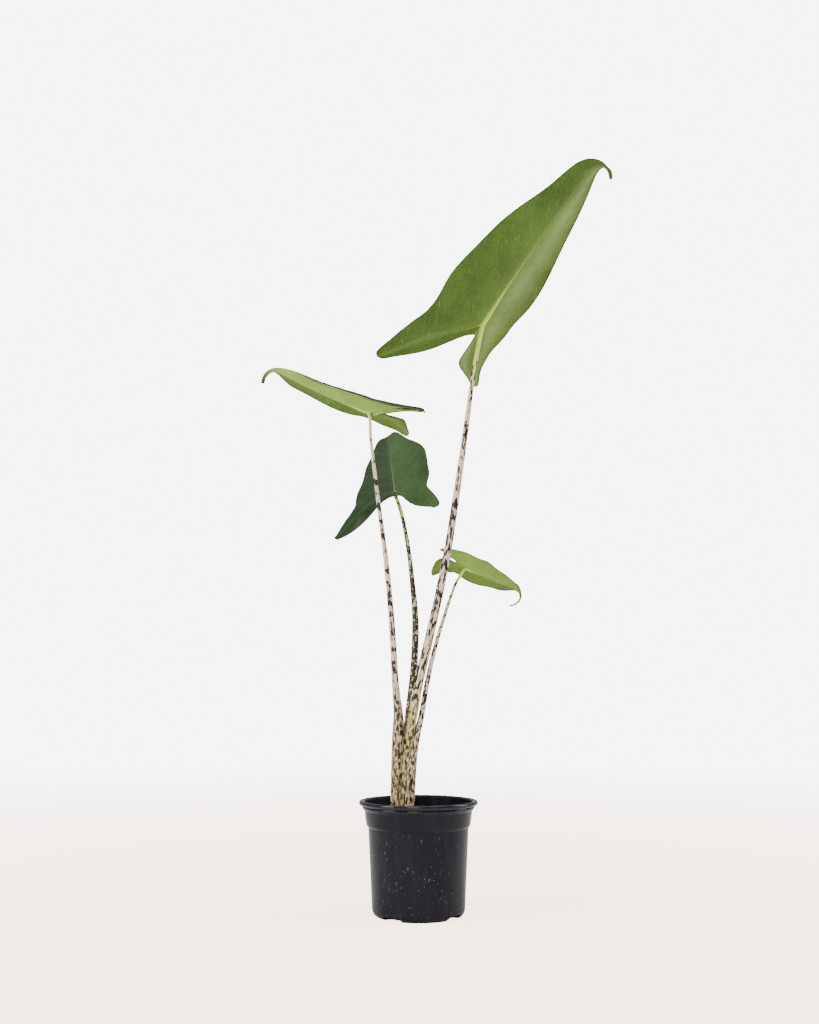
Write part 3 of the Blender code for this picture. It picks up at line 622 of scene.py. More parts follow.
def moist_peat(sizes):
    """Peat, bark and a little fibre, milled and moist: dark and matt, each crumb its own shade."""
    made, tree = new_material("moist_peat")
    place = node(tree, "ShaderNodeTexCoord", out="Object")
    # crumbs 3 mm wide, bark bits 8 mm
    fine = node(tree, "ShaderNodeTexNoise", {"Vector": place, "Scale": 330.0, "Detail": 5.0,
                                             "Roughness": 0.7})
    bits = node(tree, "ShaderNodeTexNoise", {"Vector": place, "Scale": 125.0, "Detail": 2.0})
    colour = node(tree, "ShaderNodeValToRGB", {"Fac": bits},
                  stops=[(0.52, tuple(sizes.peat)), (0.66, tuple(sizes.bark)),
                         (0.70, tuple(sizes.fibre))])
    pores = node(tree, "ShaderNodeMath", {0: fine, 1: 0.6}, operation='MULTIPLY')
    colour = node(tree, "ShaderNodeMix", {"Factor": pores, "A": colour, "B": 0.003}, data_type='RGBA')
    bump = node(tree, "ShaderNodeBump", {"Height": fine, "Strength": 0.7, "Distance": 0.0012},
                out="Normal")
    surface = node(tree, "ShaderNodeBsdfPrincipled",
                   {"Base Color": colour, "Normal": bump, "Roughness": 0.92,
                    "Specular IOR Level": 0.25})
    node(tree, "ShaderNodeOutputMaterial", {"Surface": surface})
    return made


def crumb_shape():
    """A lump with few faces, 1 m wide, which the tree below repeats."""
    bm = bmesh.new()
    bmesh.ops.create_icosphere(bm, subdivisions=1, radius=0.5)
    draw = np.random.default_rng(5)
    for v in bm.verts:
        v.co *= 0.75 + 0.5 * draw.random()
    mesh = bpy.data.meshes.new("crumb_shape")
    bm.to_mesh(mesh)
    bm.free()
    return object_of("crumb_shape", mesh, sharp=0)


def crumb_tree():
    """Scatters turned and scaled crumbs over a surface."""
    tree = new_tree("soil_crumbs", Crumb="Object", Crumb_width="Float", Crumbs_per_area="Float",
                    Seed="Int", Material="Material")
    ground = node(tree, "NodeGroupInput", out="Geometry")
    seed = node(tree, "NodeGroupInput", out="Seed")
    points = node(tree, "GeometryNodeDistributePointsOnFaces",
                  {"Mesh": ground, "Density": node(tree, "NodeGroupInput", out="Crumbs per area"),
                   "Seed": seed}, out="Points")
    turn = node(tree, "FunctionNodeRandomValue", {"Max": (math.tau,) * 3, "Seed": seed},
                data_type='FLOAT_VECTOR')
    shape = node(tree, "FunctionNodeRandomValue",
                 {"Min": (0.35, 0.35, 0.30), "Max": (1.5, 1.3, 1.0), "Seed": seed},
                 data_type='FLOAT_VECTOR')
    size = node(tree, "ShaderNodeVectorMath",
                {0: shape, "Scale": node(tree, "NodeGroupInput", out="Crumb width")}, operation='SCALE')
    crumb = node(tree, "GeometryNodeObjectInfo",
                 {"Object": node(tree, "NodeGroupInput", out="Crumb")}, out="Geometry")
    copies = node(tree, "GeometryNodeInstanceOnPoints",
                  {"Points": points, "Instance": crumb, "Rotation": turn, "Scale": size})
    real = node(tree, "GeometryNodeRealizeInstances", {"Geometry": copies})
    skin = node(tree, "GeometryNodeSetMaterial",
                {"Geometry": real, "Material": node(tree, "NodeGroupInput", out="Material")})
    node(tree, "NodeGroupOutput", {"Geometry": skin})
    return tree


def build_soil(sizes):
    """Soil that fits the pot, with loose crumbs on it and a few on the rim."""
    step, low = POT_HEIGHT - COLLAR_DEPTH, 0.0105          # the soil rounds in to the floor below low
    bottom, inner = FLOOR + GAP, body_radius(low) - WALL - GAP
    wall = COLLAR_LOW_RADIUS - WALL + 0.0005
    profile = [(0.0, bottom), (FOOT_RADIUS - 0.001, bottom), (inner - 0.0016, bottom + 0.0030),
               (inner, low), (body_radius(step) - WALL - GAP, step - 0.0006),
               (COLLAR_LOW_RADIUS - WALL - GAP, step + 0.0026), (wall, SOIL_EDGE - 0.0015)]
    profile += [(wall * share, SOIL_EDGE) for share in (0.985, *np.linspace(0.93, 0.07, 12), 0.0)]
    verts, faces = turned(profile, SOIL_SIDES)
    verts = np.array(verts)
    top = verts[:, 2] > SOIL_EDGE - 0.0001
    x, y = verts[:, 0], verts[:, 1]
    # lumps 8 mm wide with ripples 5 mm apart, kept just under the solid's surface
    lumps = np.sin(x * 410 + 1.3) * np.sin(y * 370 + 0.4) + 0.6 * np.sin(x * 930 + y * 760)
    verts[top, 2] = (soil_height(x, y) + SOIL_LUMP * (lumps - 2))[top]
    skin = moist_peat(sizes)
    soil = object_from("soil_bed", verts, faces, [skin])
    face_out(soil.data)
    crumb = crumb_shape()
    ground = [f for f in faces if all(top[v] for v in f)] + [[len(verts) + k for k in range(4)]]
    ground = object_from("soil_top", [*verts, *SPILL], ground, sharp=0)
    run_tree(ground, crumb_tree(), Crumb=crumb, Crumb_width=sizes.crumb,
             Crumbs_per_area=sizes.crumbs, Seed=sizes.seed, Material=skin)
    crumbs = plain_mesh(ground, "soil_crumbs")
    bpy.data.objects.remove(crumb, do_unlink=True)
    settle(soil, ["potting_soil"])
    settle(crumbs, [])


# ---- corm ----------------------------------------------------------------------------------------
def fibrous_corm_skin():
    """Dry papery skin of a rootstock: brown and matt, ringed every 4 mm where old leaves stood."""
    made, tree = new_material("fibrous_corm_skin")
    place = node(tree, "ShaderNodeTexCoord", out="Object")
    rings = node(tree, "ShaderNodeTexWave", {"Vector": place, "Scale": 80.0, "Distortion": 3.0,
                                             "Detail": 2.0}, bands_direction='Z')
    colour = node(tree, "ShaderNodeValToRGB", {"Fac": rings},
                  stops=[(0.0, linear("#4A3524")), (0.6, linear("#7A5E42")), (1.0, linear("#8F7353"))])
    bump = node(tree, "ShaderNodeBump", {"Height": rings, "Strength": 0.5, "Distance": 0.001},
                out="Normal")
    surface = node(tree, "ShaderNodeBsdfPrincipled",
                   {"Base Color": colour, "Normal": bump, "Roughness": 0.85})
    node(tree, "ShaderNodeOutputMaterial", {"Surface": surface})
    return made


def build_corm():
    """The corm's own solid is the piece, and gets its skin."""
    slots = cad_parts["corm"].material_slots
    if not slots:
        raise RuntimeError("The corm has no material slot")
    slots[0].material = fibrous_corm_skin()


# ---- leaf surface --------------------------------------------------------------------------------
def leaf_axes(leaf):
    """Columns: the leaf's own directions along, left and up."""
    az, el, ro = (math.radians(leaf[k]) for k in ("heading", "rise", "roll"))
    along = np.array([math.cos(el) * math.cos(az), math.cos(el) * math.sin(az), math.sin(el)])
    side = np.array([-math.sin(az), math.cos(az), 0.0])
    up = np.cross(along, side)
    left = side * math.cos(ro) + up * math.sin(ro)
    return np.stack([along, left, np.cross(along, left)], 1)


def flat_points(leaf, template, half):
    """Scale points of the flat outline to this leaf: across and along, in metres."""
    t = np.asarray(template, float)
    u, v = t[:, 0], t[:, 1]
    fuller = 1 + sum(gain * np.exp(-((v - middle) / reach) ** 2)
                     for gain, (middle, reach) in zip(leaf["full"][half], STATIONS))
    lobe = smoothstep((0.02 - v) / 0.2)
    across = u * fuller * leaf["width"] * (1 + (leaf["spread"][half] - 1) * lobe)
    along = np.where(v < -leaf["notch"], -leaf["notch"] + (v + leaf["notch"]) * leaf["lobe"][half], v)
    along = np.where(v > 1, 1 + (v - 1) / (TIP - 1) * leaf["tail"], along)
    return np.stack([across, along], 1) * leaf["midrib"]


def notch_line(leaf, half, samples):
    """Template of the edge between notch and lobe, swollen or hollowed and set back for this leaf."""
    line = spline(INNER, samples, 2)
    share = np.sin(math.pi * np.asarray(samples))
    # square to the straight line from the notch to the lobe's end
    line += np.outer(leaf["inner"][half] * share ** 2, (-0.76, -0.65))
    line[:, 0] = np.maximum(line[:, 0], 0.0)
    line[:, 1] -= (leaf["notch"] - NOTCH) * (1 - np.sin(math.pi / 2 * np.asarray(samples)))
    return line


def bent_line(leaf, along, half):
    """How far the blade is turned down, and lies forward and up, at these lengths along it."""
    length, n = leaf["midrib"], BEND_STEPS
    # from beyond the lobe's end to beyond the drip tip, bent apart behind the notch
    split = -leaf["notch"] * length
    s = np.concatenate([np.linspace(-0.75 * length, split, n), np.linspace(split, 0, n)[1:],
                        np.linspace(0, 1.3 * length, n)[1:]])
    ahead = np.clip(s / length, 0, None)
    behind = np.clip((split - s) / length, 0, None)
    angle = math.radians(leaf["arch"]) * ahead
    angle += math.radians(leaf["curl"]) * smoothstep((ahead - CURL_START) / (0.18 + leaf["tail"]))
    angle -= math.radians(leaf["bend"][half]) * behind / 0.4
    middle, step = (angle[1:] + angle[:-1]) / 2, np.diff(s)
    forward = np.concatenate([[0.0], np.cumsum(step * np.cos(middle))])
    upward = np.concatenate([[0.0], np.cumsum(-step * np.sin(middle))])
    stalk = 2 * n - 2
    forward, upward = forward - forward[stalk], upward - upward[stalk]
    return [np.interp(along, s, values) for values in (angle, forward, upward)]


def placed(leaf, template, half):
    """World position of template points on the upper face: folded, cupped, bent and turned."""
    flat = flat_points(leaf, template, half)
    u, v = flat[:, 0], flat[:, 1]
    # a half is about 0.27 of the midrib wide, and its fold opens by a third towards the tip
    span = 0.27 * leaf["midrib"] * leaf["width"]
    fold = math.radians(leaf["fold"][half]) * (1 - 0.35 * smoothstep(v / leaf["midrib"]))
    cup = math.radians(leaf["cup"][half])
    turn = fold + cup * u / span
    out = span / cup * (np.sin(turn) - np.sin(fold))
    up = span / cup * (np.cos(fold) - np.cos(turn))
    sign = 1 if half == 0 else -1
    twist = math.radians(leaf["twist"]) * np.clip(v / leaf["midrib"], -0.6, 1.0)
    side = sign * out * np.cos(twist) - up * np.sin(twist)
    lift = sign * out * np.sin(twist) + up * np.cos(twist)
    angle, forward, upward = bent_line(leaf, v, half)
    local = np.stack([forward + lift * np.sin(angle), side, upward + lift * np.cos(angle)], 1)
    return local @ leaf_axes(leaf).T + np.array(leaf["at"])


def rib_line():
    """Template points down the midrib and out along the costa, and their shares of its length."""
    spine = np.concatenate([np.linspace(TIP, CURL_START, ROWS[0]),
                            np.linspace(CURL_START, 0.0, ROWS[1])[1:]])
    spine = np.stack([np.zeros_like(spine), spine], 1)
    costa = spline(COSTA, np.linspace(0, 1, ROWS[2]), 2)
    ribs = np.vstack([spine, costa[1:]])
    run = np.concatenate([[0.0], np.cumsum(np.linalg.norm(np.diff(ribs, axis=0), axis=1))])
    return ribs, costa, run / run[-1]


def blade_grid(leaf, half, pairs):
    """Strips of the half blade: each a grid of template points and its vein phases."""
    ribs, costa, share = rib_line()
    margin = spline(OUTER, share, 2)
    notch = notch_line(leaf, half, np.linspace(0, 1, len(costa)))
    strips = []
    for rib, edge, part, strip in ((ribs, margin, share, "outer"),
                                   (costa, notch, share[-len(costa):], "notch")):
        beside, over, last = COLUMNS[strip]
        width = np.linalg.norm(edge - rib, axis=1) * leaf["midrib"]
        near = np.minimum(RIB_HALF * 1.1 / np.maximum(width, 1e-6), 0.30)[:, None]
        beyond = np.append(np.linspace(0, 0.92, over)[1:], np.linspace(0.92, 1.0, last)[1:])
        shares = np.hstack([near * np.linspace(0, 1, beside), near + (1 - near) * beyond])
        points = rib[:, None] * (1 - shares[..., None]) + edge[:, None] * shares[..., None]
        run_out = VEIN_LEAN * shares ** 1.25 if strip == "outer" else -LOBE_LEAN * shares ** 1.2
        strips.append((points, (part[:, None] + run_out) * pairs, shares * width[:, None],
                       (1 - shares) * width[:, None], shares))
    return strips


def rib_reach(template):
    """0 at the stalk and 1 at the end of the midrib or costa."""
    far = np.linalg.norm(template, axis=-1)
    return np.clip(far / np.where(template[..., 0] < 1e-9, TIP, COSTA_REACH), 0, 1)


def rib_depth(leaf, reach):
    """How far a rib stands out under the blade."""
    return RIB_DEPTH * (leaf["midrib"] / RIB_LENGTH) ** 0.4 * (1 - reach) ** 0.8


def blade_parts(leaf, pairs, tip_depth):
    """Upper points, faces, depth below each point and the attributes that the skin reads.

    Of these, rib counts half widths of the rib, edge millimetres to the margin and vein the side
    veins from the tip on; row is 0 at the stalk and 1 at the end of the rib.
    """
    spots, faces, found = [], [], {}
    data = {key: [] for key in ("depth", "rib", "edge", "vein", "share", "row", "half", "across",
                                "tip", "outward")}
    for half in (0, 1):
        for strip, (points, phase, to_rib, to_edge, shares) in enumerate(blade_grid(leaf, half, pairs)):
            rows, cols = shares.shape
            where = placed(leaf, points.reshape(-1, 2), half).reshape(rows, cols, 3)
            reach = rib_reach(points[:, :1])
            on_costa = points[:, :1, 0] > 1e-9
            # a rib narrows to 0.28 of its width, the blade thins in the last 1.2 mm, and the drip
            # tip is thicker over the last fifth of the midrib
            half_rib = RIB_HALF * (1 - 0.72 * reach) * (leaf["midrib"] / RIB_LENGTH) ** 0.5
            hump = np.clip(1 - (to_rib / half_rib) ** 2, 0, None) ** 1.6
            depth = BLADE * (0.45 + 0.55 * smoothstep(to_edge / 0.0012)) + rib_depth(leaf, reach) * hump
            depth = depth + tip_depth * smoothstep((reach - 0.82) / 0.13) * (1 - on_costa) * (1 - shares ** 2)
            # the way out of the blade at its margin, along which a rolled margin draws in
            outward = where[:, -1] - where[:, -4]
            outward /= np.maximum(np.linalg.norm(outward, axis=1), 1e-9)[:, None]
            # a costa starts as pale as the midrib does and fades sooner
            row = np.where(on_costa, 1 - (1 - reach) * (1 - 0.62 * smoothstep(reach / 0.08)), reach)
            values = {"depth": depth, "rib": to_rib / half_rib, "edge": to_edge * 1000, "vein": phase,
                      "share": shares, "row": row + 0 * shares, "half": half + 0 * shares,
                      "across": 0.5 + shares * (0.5 - half),
                      "tip": smoothstep((reach - 0.935) / 0.045) * (1 - on_costa) + 0 * shares}
            index = np.zeros((rows, cols), int)
            for i in range(rows):
                for j in range(cols):
                    key = tuple(np.round(where[i, j], 7))
                    if key not in found:
                        found[key] = len(spots)
                        spots.append(where[i, j])
                        data["outward"].append(outward[i])
                        for name, grid in values.items():
                            data[name].append(grid[i, j])
                    index[i, j] = found[key]
            flip = (half == 0) == (strip == 0)
            for i in range(rows - 1):
                for j in range(cols - 1):
                    corners = [index[i, j], index[i, j + 1], index[i + 1, j + 1], index[i + 1, j]]
                    kept = [c for n, c in enumerate(corners) if c not in corners[:n]]
                    if len(kept) > 2:
                        faces.append(kept if flip else kept[::-1])
    return np.array(spots), faces, {k: np.array(v) for k, v in data.items()}, found


def point_normals(points, faces):
    """Unit normals of the points, from the faces round each."""
    normal = np.zeros_like(points)
    quads = np.array([f if len(f) == 4 else f + [f[2]] for f in faces])
    area = np.cross(points[quads[:, 2]] - points[quads[:, 0]], points[quads[:, 3]] - points[quads[:, 1]])
    for c in range(4):
        np.add.at(normal, quads[:, c], area)
    return normal / np.maximum(np.linalg.norm(normal, axis=1), 1e-12)[:, None]


# What differs between the upper and the under skin. How pale: the side veins, the skin beside them,
# the net, the skin beside a rib and the scratches. The pale stripe on a rib: how much it narrows
# along the rib, the shares of the half rib where it ends and is full, and how pale it is along the
# rib. The surface: relief, roughness and gloss.
SKIN_ABOVE = dict(vein=0.010, soft=0.006, net=0.020, beside=0.02, scratch=0.06,
                  narrows=0.4, stripe=(0.60, 0.15), along=((0.0, 0.19), (0.5, 0.14), (0.61, 0.03)),
                  relief=0.12, rough=(0.36, 0.46), gloss=0.20)
SKIN_BELOW = dict(vein=0.020, soft=0.012, net=0.090, beside=0.07, scratch=0.30,
                  narrows=0.9, stripe=(0.85, 0.30),
                  along=((0.0, 0.95), (0.10, 0.66), (0.30, 0.34), (0.50, 0.14), (0.62, 0.03)),
                  relief=0.25, rough=(0.44, 0.56), gloss=0.18)


def leaf_skin(name, looks, tones, upper, painted_sheen, shows=1.0):
    """Leaf skin, a waxy cuticle grown over green tissue: satin above, paler and duller below.

    Each half has its own colour, set lighter or darker to how that half is lit: painted light and
    shade. The tissue is cloudy and finely speckled. The midrib pales towards the stalk, side veins
    show as soft lines with a net 2 mm wide between them, and a thin dark line edges the blade.
    Patchy painted sheen, pale colour that stands in for a soft glossy highlight, lies between rib
    and margin, and dry scratches cross the skin.
    """
    side = SKIN_ABOVE if upper else SKIN_BELOW
    made, tree = new_material(name)
    place = node(tree, "ShaderNodeTexCoord", out="Object")
    rib, edge, vein, row, across, tip = (
        node(tree, "ShaderNodeAttribute", out="Fac", attribute_name=key)
        for key in ("rib", "edge", "vein", "row", "across", "tip"))
    pale_tone = tuple(looks.rib_above if upper else looks.rib)
    # painted light and shade: each half has its own colour, lighter or darker to how it is lit, with a soft
    # step at the midrib
    right = node(tree, "ShaderNodeMapRange", {"Value": across, "From Min": 0.54, "From Max": 0.46},
                 interpolation_type='SMOOTHSTEP')
    tone = node(tree, "ShaderNodeMix", {"Factor": right, "A": tones[0], "B": tones[1]}, data_type='RGBA')
    # clouds 50 mm wide and specks 2 mm wide
    cloud = node(tree, "ShaderNodeTexNoise", {"Vector": place, "Scale": 20.0, "Detail": 4.0,
                                              "Roughness": 0.6})
    speck = node(tree, "ShaderNodeTexNoise", {"Vector": place, "Scale": 480.0, "Detail": 2.0})
    shade = node(tree, "ShaderNodeMath", {0: cloud, 1: node(
        tree, "ShaderNodeMath", {0: speck, 1: 0.35}, operation='MULTIPLY')}, operation='ADD')
    shade = node(tree, "ShaderNodeMapRange", {"Value": shade, "From Min": 0.50, "From Max": 0.85,
                                              "To Min": 0.70, "To Max": 1.30})
    base = node(tree, "ShaderNodeVectorMath", {0: tone, "Scale": shade}, operation='SCALE')
    # painted sheen: a pale band across each half where a glossy highlight falls, patchy with the clouds
    painted_sheen_share = node(tree, "ShaderNodeValToRGB", {"Fac": across}, stops=painted_sheen)
    patchy = node(tree, "ShaderNodeMapRange", {"Value": cloud, "From Min": 0.35, "From Max": 0.6,
                                               "To Min": 0.7, "To Max": 1.0})
    painted_sheen_share = node(tree, "ShaderNodeMath", {0: painted_sheen_share, 1: patchy}, operation='MULTIPLY')
    base = node(tree, "ShaderNodeMix", {"Factor": painted_sheen_share, "A": base, "B": tuple(looks.painted_sheen)},
                data_type='RGBA')
    # side veins stand at each whole number of the phase
    off = node(tree, "ShaderNodeMath", {0: vein, 1: 0.5}, operation='ADD')
    off = node(tree, "ShaderNodeMath", {0: node(tree, "ShaderNodeMath", {0: off}, operation='FRACT'),
                                        1: 0.5}, operation='SUBTRACT')
    off = node(tree, "ShaderNodeMath", {0: off}, operation='ABSOLUTE')
    line = node(tree, "ShaderNodeMapRange", {"Value": off, "From Min": 0.06, "From Max": 0.01,
                                             "To Max": side["vein"]})
    soft = node(tree, "ShaderNodeMapRange", {"Value": off, "From Min": 0.22, "From Max": 0.0,
                                             "To Max": 1.0}, interpolation_type='SMOOTHSTEP')
    net = node(tree, "ShaderNodeTexVoronoi", {"Vector": place, "Scale": 480.0},
               feature='DISTANCE_TO_EDGE')
    net = node(tree, "ShaderNodeMapRange", {"Value": net, "From Max": 0.2, "To Max": 0.0,
                                            "To Min": side["net"]})
    pale = node(tree, "ShaderNodeMath", {0: line, 1: net}, operation='ADD')
    pale = node(tree, "ShaderNodeMath", {0: pale, 1: node(
        tree, "ShaderNodeMath", {0: soft, 1: side["soft"]}, operation='MULTIPLY')},
        operation='ADD')
    # the skin pales a little for up to 7 mm on either side of a rib
    beside = node(tree, "ShaderNodeMapRange", {"Value": rib, "From Min": 3.5, "From Max": 0.6,
                                               "To Max": side["beside"]},
                  interpolation_type='SMOOTHSTEP')
    pale = node(tree, "ShaderNodeMath", {0: pale, 1: beside}, operation='ADD')
    base = node(tree, "ShaderNodeMix", {"Factor": pale, "A": base, "B": pale_tone},
                data_type='RGBA')
    fade = node(tree, "ShaderNodeValToRGB", {"Fac": row},
                stops=[(spot * shows, amount) for spot, amount in side["along"]])
    slim = node(tree, "ShaderNodeMath", {0: row, 1: side["narrows"], 2: rib},
                operation='MULTIPLY_ADD')
    near = node(tree, "ShaderNodeMapRange", {"Value": slim, "From Min": side["stripe"][0],
                                             "From Max": side["stripe"][1]},
                interpolation_type='SMOOTHSTEP')
    ribbed = node(tree, "ShaderNodeMath", {0: near, 1: fade}, operation='MULTIPLY')
    base = node(tree, "ShaderNodeMix", {"Factor": ribbed, "A": base, "B": pale_tone},
                data_type='RGBA')
    # dry scratches 0.4 mm wide and 12 mm long
    leaning = node(tree, "ShaderNodeMapping", {"Vector": place, "Rotation": (0.5, 0.9, 0.3),
                                               "Scale": (900.0, 70.0, 45.0)})
    dry = node(tree, "ShaderNodeTexNoise", {"Vector": leaning, "Scale": 1.0, "Detail": 1.0})
    dry = node(tree, "ShaderNodeMapRange", {"Value": dry, "From Min": 0.69, "From Max": 0.78,
                                            "To Max": side["scratch"]})
    base = node(tree, "ShaderNodeMix", {"Factor": dry, "A": base, "B": pale_tone},
                data_type='RGBA')
    rim = node(tree, "ShaderNodeMapRange", {"Value": edge, "From Min": 1.7, "From Max": 0.6,
                                            "To Max": 0.9}, interpolation_type='SMOOTHSTEP')
    # the drip tip has dried to the same dark tone as the edge
    rim = node(tree, "ShaderNodeMath", {0: rim, 1: tip}, operation='MAXIMUM')
    base = node(tree, "ShaderNodeMix", {"Factor": rim, "A": base, "B": tuple(looks.margin)},
                data_type='RGBA')
    bump = node(tree, "ShaderNodeBump", {"Height": node(tree, "ShaderNodeMath", {0: soft, 1: net},
                                                        operation='ADD'),
                                         "Strength": side["relief"], "Distance": 0.0005},
                out="Normal", invert=upper)
    rough = node(tree, "ShaderNodeMapRange", {"Value": cloud, "From Min": 0.3, "From Max": 0.7,
                                              "To Min": side["rough"][0],
                                              "To Max": side["rough"][1]})
    surface = node(tree, "ShaderNodeBsdfPrincipled",
                   {"Base Color": base, "Roughness": rough, "Normal": bump, "IOR": 1.45,
                    "Specular IOR Level": side["gloss"]})
    node(tree, "ShaderNodeOutputMaterial", {"Surface": surface})
    return made


def half_tones(key, looks):
    """Colours of the left and the right half; how they differ is painted light and shade, for how each half
    is lit.
    """
    return [tuple(getattr(looks, f"{key}_{half}")) for half in ("left", "right")]


def rolled_margin(key, data, normal):
    """Shift that turns a strip along the margin down, wider round the lobes than at the tip."""
    # the strip is narrow at the drip tip and widens between the third and the eighth side vein
    widens = 0.12 + 0.88 * smoothstep((data["vein"] - 3.2) / 5)
    wide = np.where(data["half"] < 0.5, *ROLLED[key]) * widens
    x = np.clip(wide - data["edge"] / 1000, 0, None)
    turn = ROLL * x / wide
    inward = np.sin(turn) / ROLL * wide - x
    down = (1 - np.cos(turn)) / ROLL * wide
    return data["outward"] * inward[:, None] - normal * down[:, None]


def build_blade(key, leaf, looks, upper_skin):
    """Closed blade with its skins, and what these read from its points."""
    points, faces, data, found = blade_parts(leaf, looks.vein_pairs, TIP_DEPTHS[key])
    normal = point_normals(points, faces)
    stalk = found[tuple(np.round(np.array(leaf["at"]), 7))]
    if normal[stalk] @ leaf_axes(leaf)[:, 2] < 0:
        normal, faces = -normal, [f[::-1] for f in faces]
    # the margin waves a little, less on a short blade, the blade puffs up between its side veins
    # and the midrib is sunk
    phase, share = data["vein"], data["share"]
    lift = MARGIN_WAVE * min(1.0, leaf["midrib"] / 0.16) * np.sin(phase * 2.1 + leaf["heading"]) * share ** 3
    lift += FIELD_PUFF * (1 - np.cos(math.tau * phase)) * np.clip(share * (1 - share) * 6, 0, 1)
    lift -= RIB_SINK * np.clip(1 - data["rib"], 0, 1) * (1 - data["row"])
    top = points + normal * lift[:, None] + rolled_margin(key, data, normal)
    verts = np.vstack([top, top - normal * data["depth"][:, None]])
    count = len(points)
    sides = {}
    for f in faces:
        for a, b in zip(f, f[1:] + f[:1]):
            pair = (min(a, b), max(a, b))
            sides[pair] = None if pair in sides else (a, b)
    rim = [[b, a, a + count, b + count] for a, b in filter(None, sides.values())]
    under = [[c + count for c in f[::-1]] for f in faces]
    under_skin = leaf_skin("leaf_underside_" + key, looks, half_tones(key, looks), False, PAINTED_SHEEN[key],
                           RIB_SHOWS[key])
    blade = object_from("blade_" + key, verts, faces + under + rim, [upper_skin, under_skin], sharp=0)
    blade.data.shade_smooth()
    slots = np.array([0] * len(faces) + [1] * (len(under) + len(rim)), np.int32)
    blade.data.polygons.foreach_set("material_index", slots)
    for name in ("rib", "edge", "vein", "row", "across", "tip"):
        put_attribute(blade.data, name, np.concatenate([data[name]] * 2))
    settle(blade, ["leaf_blade_" + key])


# ---- side veins ----------------------------------------------------------------------------------
def vein_tree():
    """Sweeps a small round section along each line, thinner towards its end."""
    tree = new_tree("side_veins", Vein_radius="Float", Sides="Int", Material="Material")
    lines = node(tree, "GeometryNodeMeshToCurve", {"Mesh": node(tree, "NodeGroupInput", out="Geometry")})
    along = node(tree, "GeometryNodeSplineParameter", out="Factor")
    thin = node(tree, "ShaderNodeMapRange", {"Value": along, "To Min": 1.0, "To Max": 0.25})
    size = node(tree, "ShaderNodeMath", {0: thin, 1: node(tree, "NodeGroupInput", out="Vein radius")},
                operation='MULTIPLY')
    section = node(tree, "GeometryNodeCurvePrimitiveCircle",
                   {"Resolution": node(tree, "NodeGroupInput", out="Sides"), "Radius": 1.0})
    swept = node(tree, "GeometryNodeCurveToMesh",
                 {"Curve": lines, "Profile Curve": section, "Scale": size, "Fill Caps": True})
    smooth = node(tree, "GeometryNodeSetShadeSmooth", {"Geometry": swept})
    real = node(tree, "GeometryNodeRealizeInstances", {"Geometry": smooth})
    skin = node(tree, "GeometryNodeSetMaterial",
                {"Geometry": real, "Material": node(tree, "NodeGroupInput", out="Material")})
    node(tree, "NodeGroupOutput", {"Geometry": skin})
    return tree


def vein_lines(leaf, pairs):
    """Polylines just under the blade where the side veins run."""
    ribs, _, share = rib_line()
    margin = spline(OUTER, share, 2)
    lines = []
    for half in (0, 1):
        for k in range(1, pairs + 3):
            # from the rib nearly to the margin, and clear of the drip tip and the lobe's end
            cols = np.linspace(0.02, 0.93, 26)
            part = k / pairs - VEIN_LEAN * cols ** 1.25
            keep = (part > 0.10) & (part < 0.955)
            if keep.sum() < 8 or k / pairs > 0.97:
                continue
            part, cols = part[keep], cols[keep, None]
            rib, edge = (np.stack([np.interp(part, share, line[:, c]) for c in (0, 1)], 1)
                         for line in (ribs, margin))
            flat = rib * (1 - cols) + edge * cols
            here = placed(leaf, flat, half)
            across = placed(leaf, flat + (0.004, 0.0), half) - here
            along = placed(leaf, flat + (0.0, 0.004), half) - here
            down = np.cross(along, across) * (-1 if half == 0 else 1)
            down /= np.linalg.norm(down, axis=1)[:, None]
            if down[0] @ leaf_axes(leaf)[:, 2] > 0:
                down = -down
            lines.append(here + down * BLADE)
    return lines


def vein_skin(key, looks):
    """Raised side vein: the blade's own waxy skin, stretched and so a little paler."""
    made, tree = new_material("side_vein_" + key)
    place = node(tree, "ShaderNodeTexCoord", out="Object")
    # clouds 17 mm wide
    cloud = node(tree, "ShaderNodeTexNoise", {"Vector": place, "Scale": 60.0})
    tone = np.mean(half_tones(key, looks), axis=0) * 0.95 + np.array(looks.rib) * 0.05
    base = node(tree, "ShaderNodeValToRGB", {"Fac": cloud}, stops=[(0.3, tone * 0.9), (0.7, tone)])
    surface = node(tree, "ShaderNodeBsdfPrincipled",
                   {"Base Color": base, "Roughness": 0.5, "IOR": 1.45, "Specular IOR Level": 0.22})
    node(tree, "ShaderNodeOutputMaterial", {"Surface": surface})
    return made


def build_veins(looks):
    """Raised side veins under each blade."""
    tree = vein_tree()
    for key, leaf in LEAVES.items():
        verts, edges = [], []
        for line in vein_lines(leaf, looks.vein_pairs):
            edges += [(len(verts) + k, len(verts) + k + 1) for k in range(len(line) - 1)]
            verts += [tuple(p) for p in line]
        mesh = bpy.data.meshes.new("vein_lines_" + key)
        mesh.from_pydata(verts, edges, [])
        holder = object_of("vein_lines_" + key, mesh, sharp=0)
        run_tree(holder, tree, Vein_radius=looks.vein_radius * min(1.0, leaf["midrib"] / RIB_LENGTH) ** 0.5,
                 Sides=VEIN_SIDES, Material=vein_skin(key, looks))
        settle(plain_mesh(holder, "side_veins_" + key), [])


# ---- petioles ------------------------------------------------------------------------------------
NOISE_SPREAD = 0.105        # how a noise pattern's values spread about 0.5


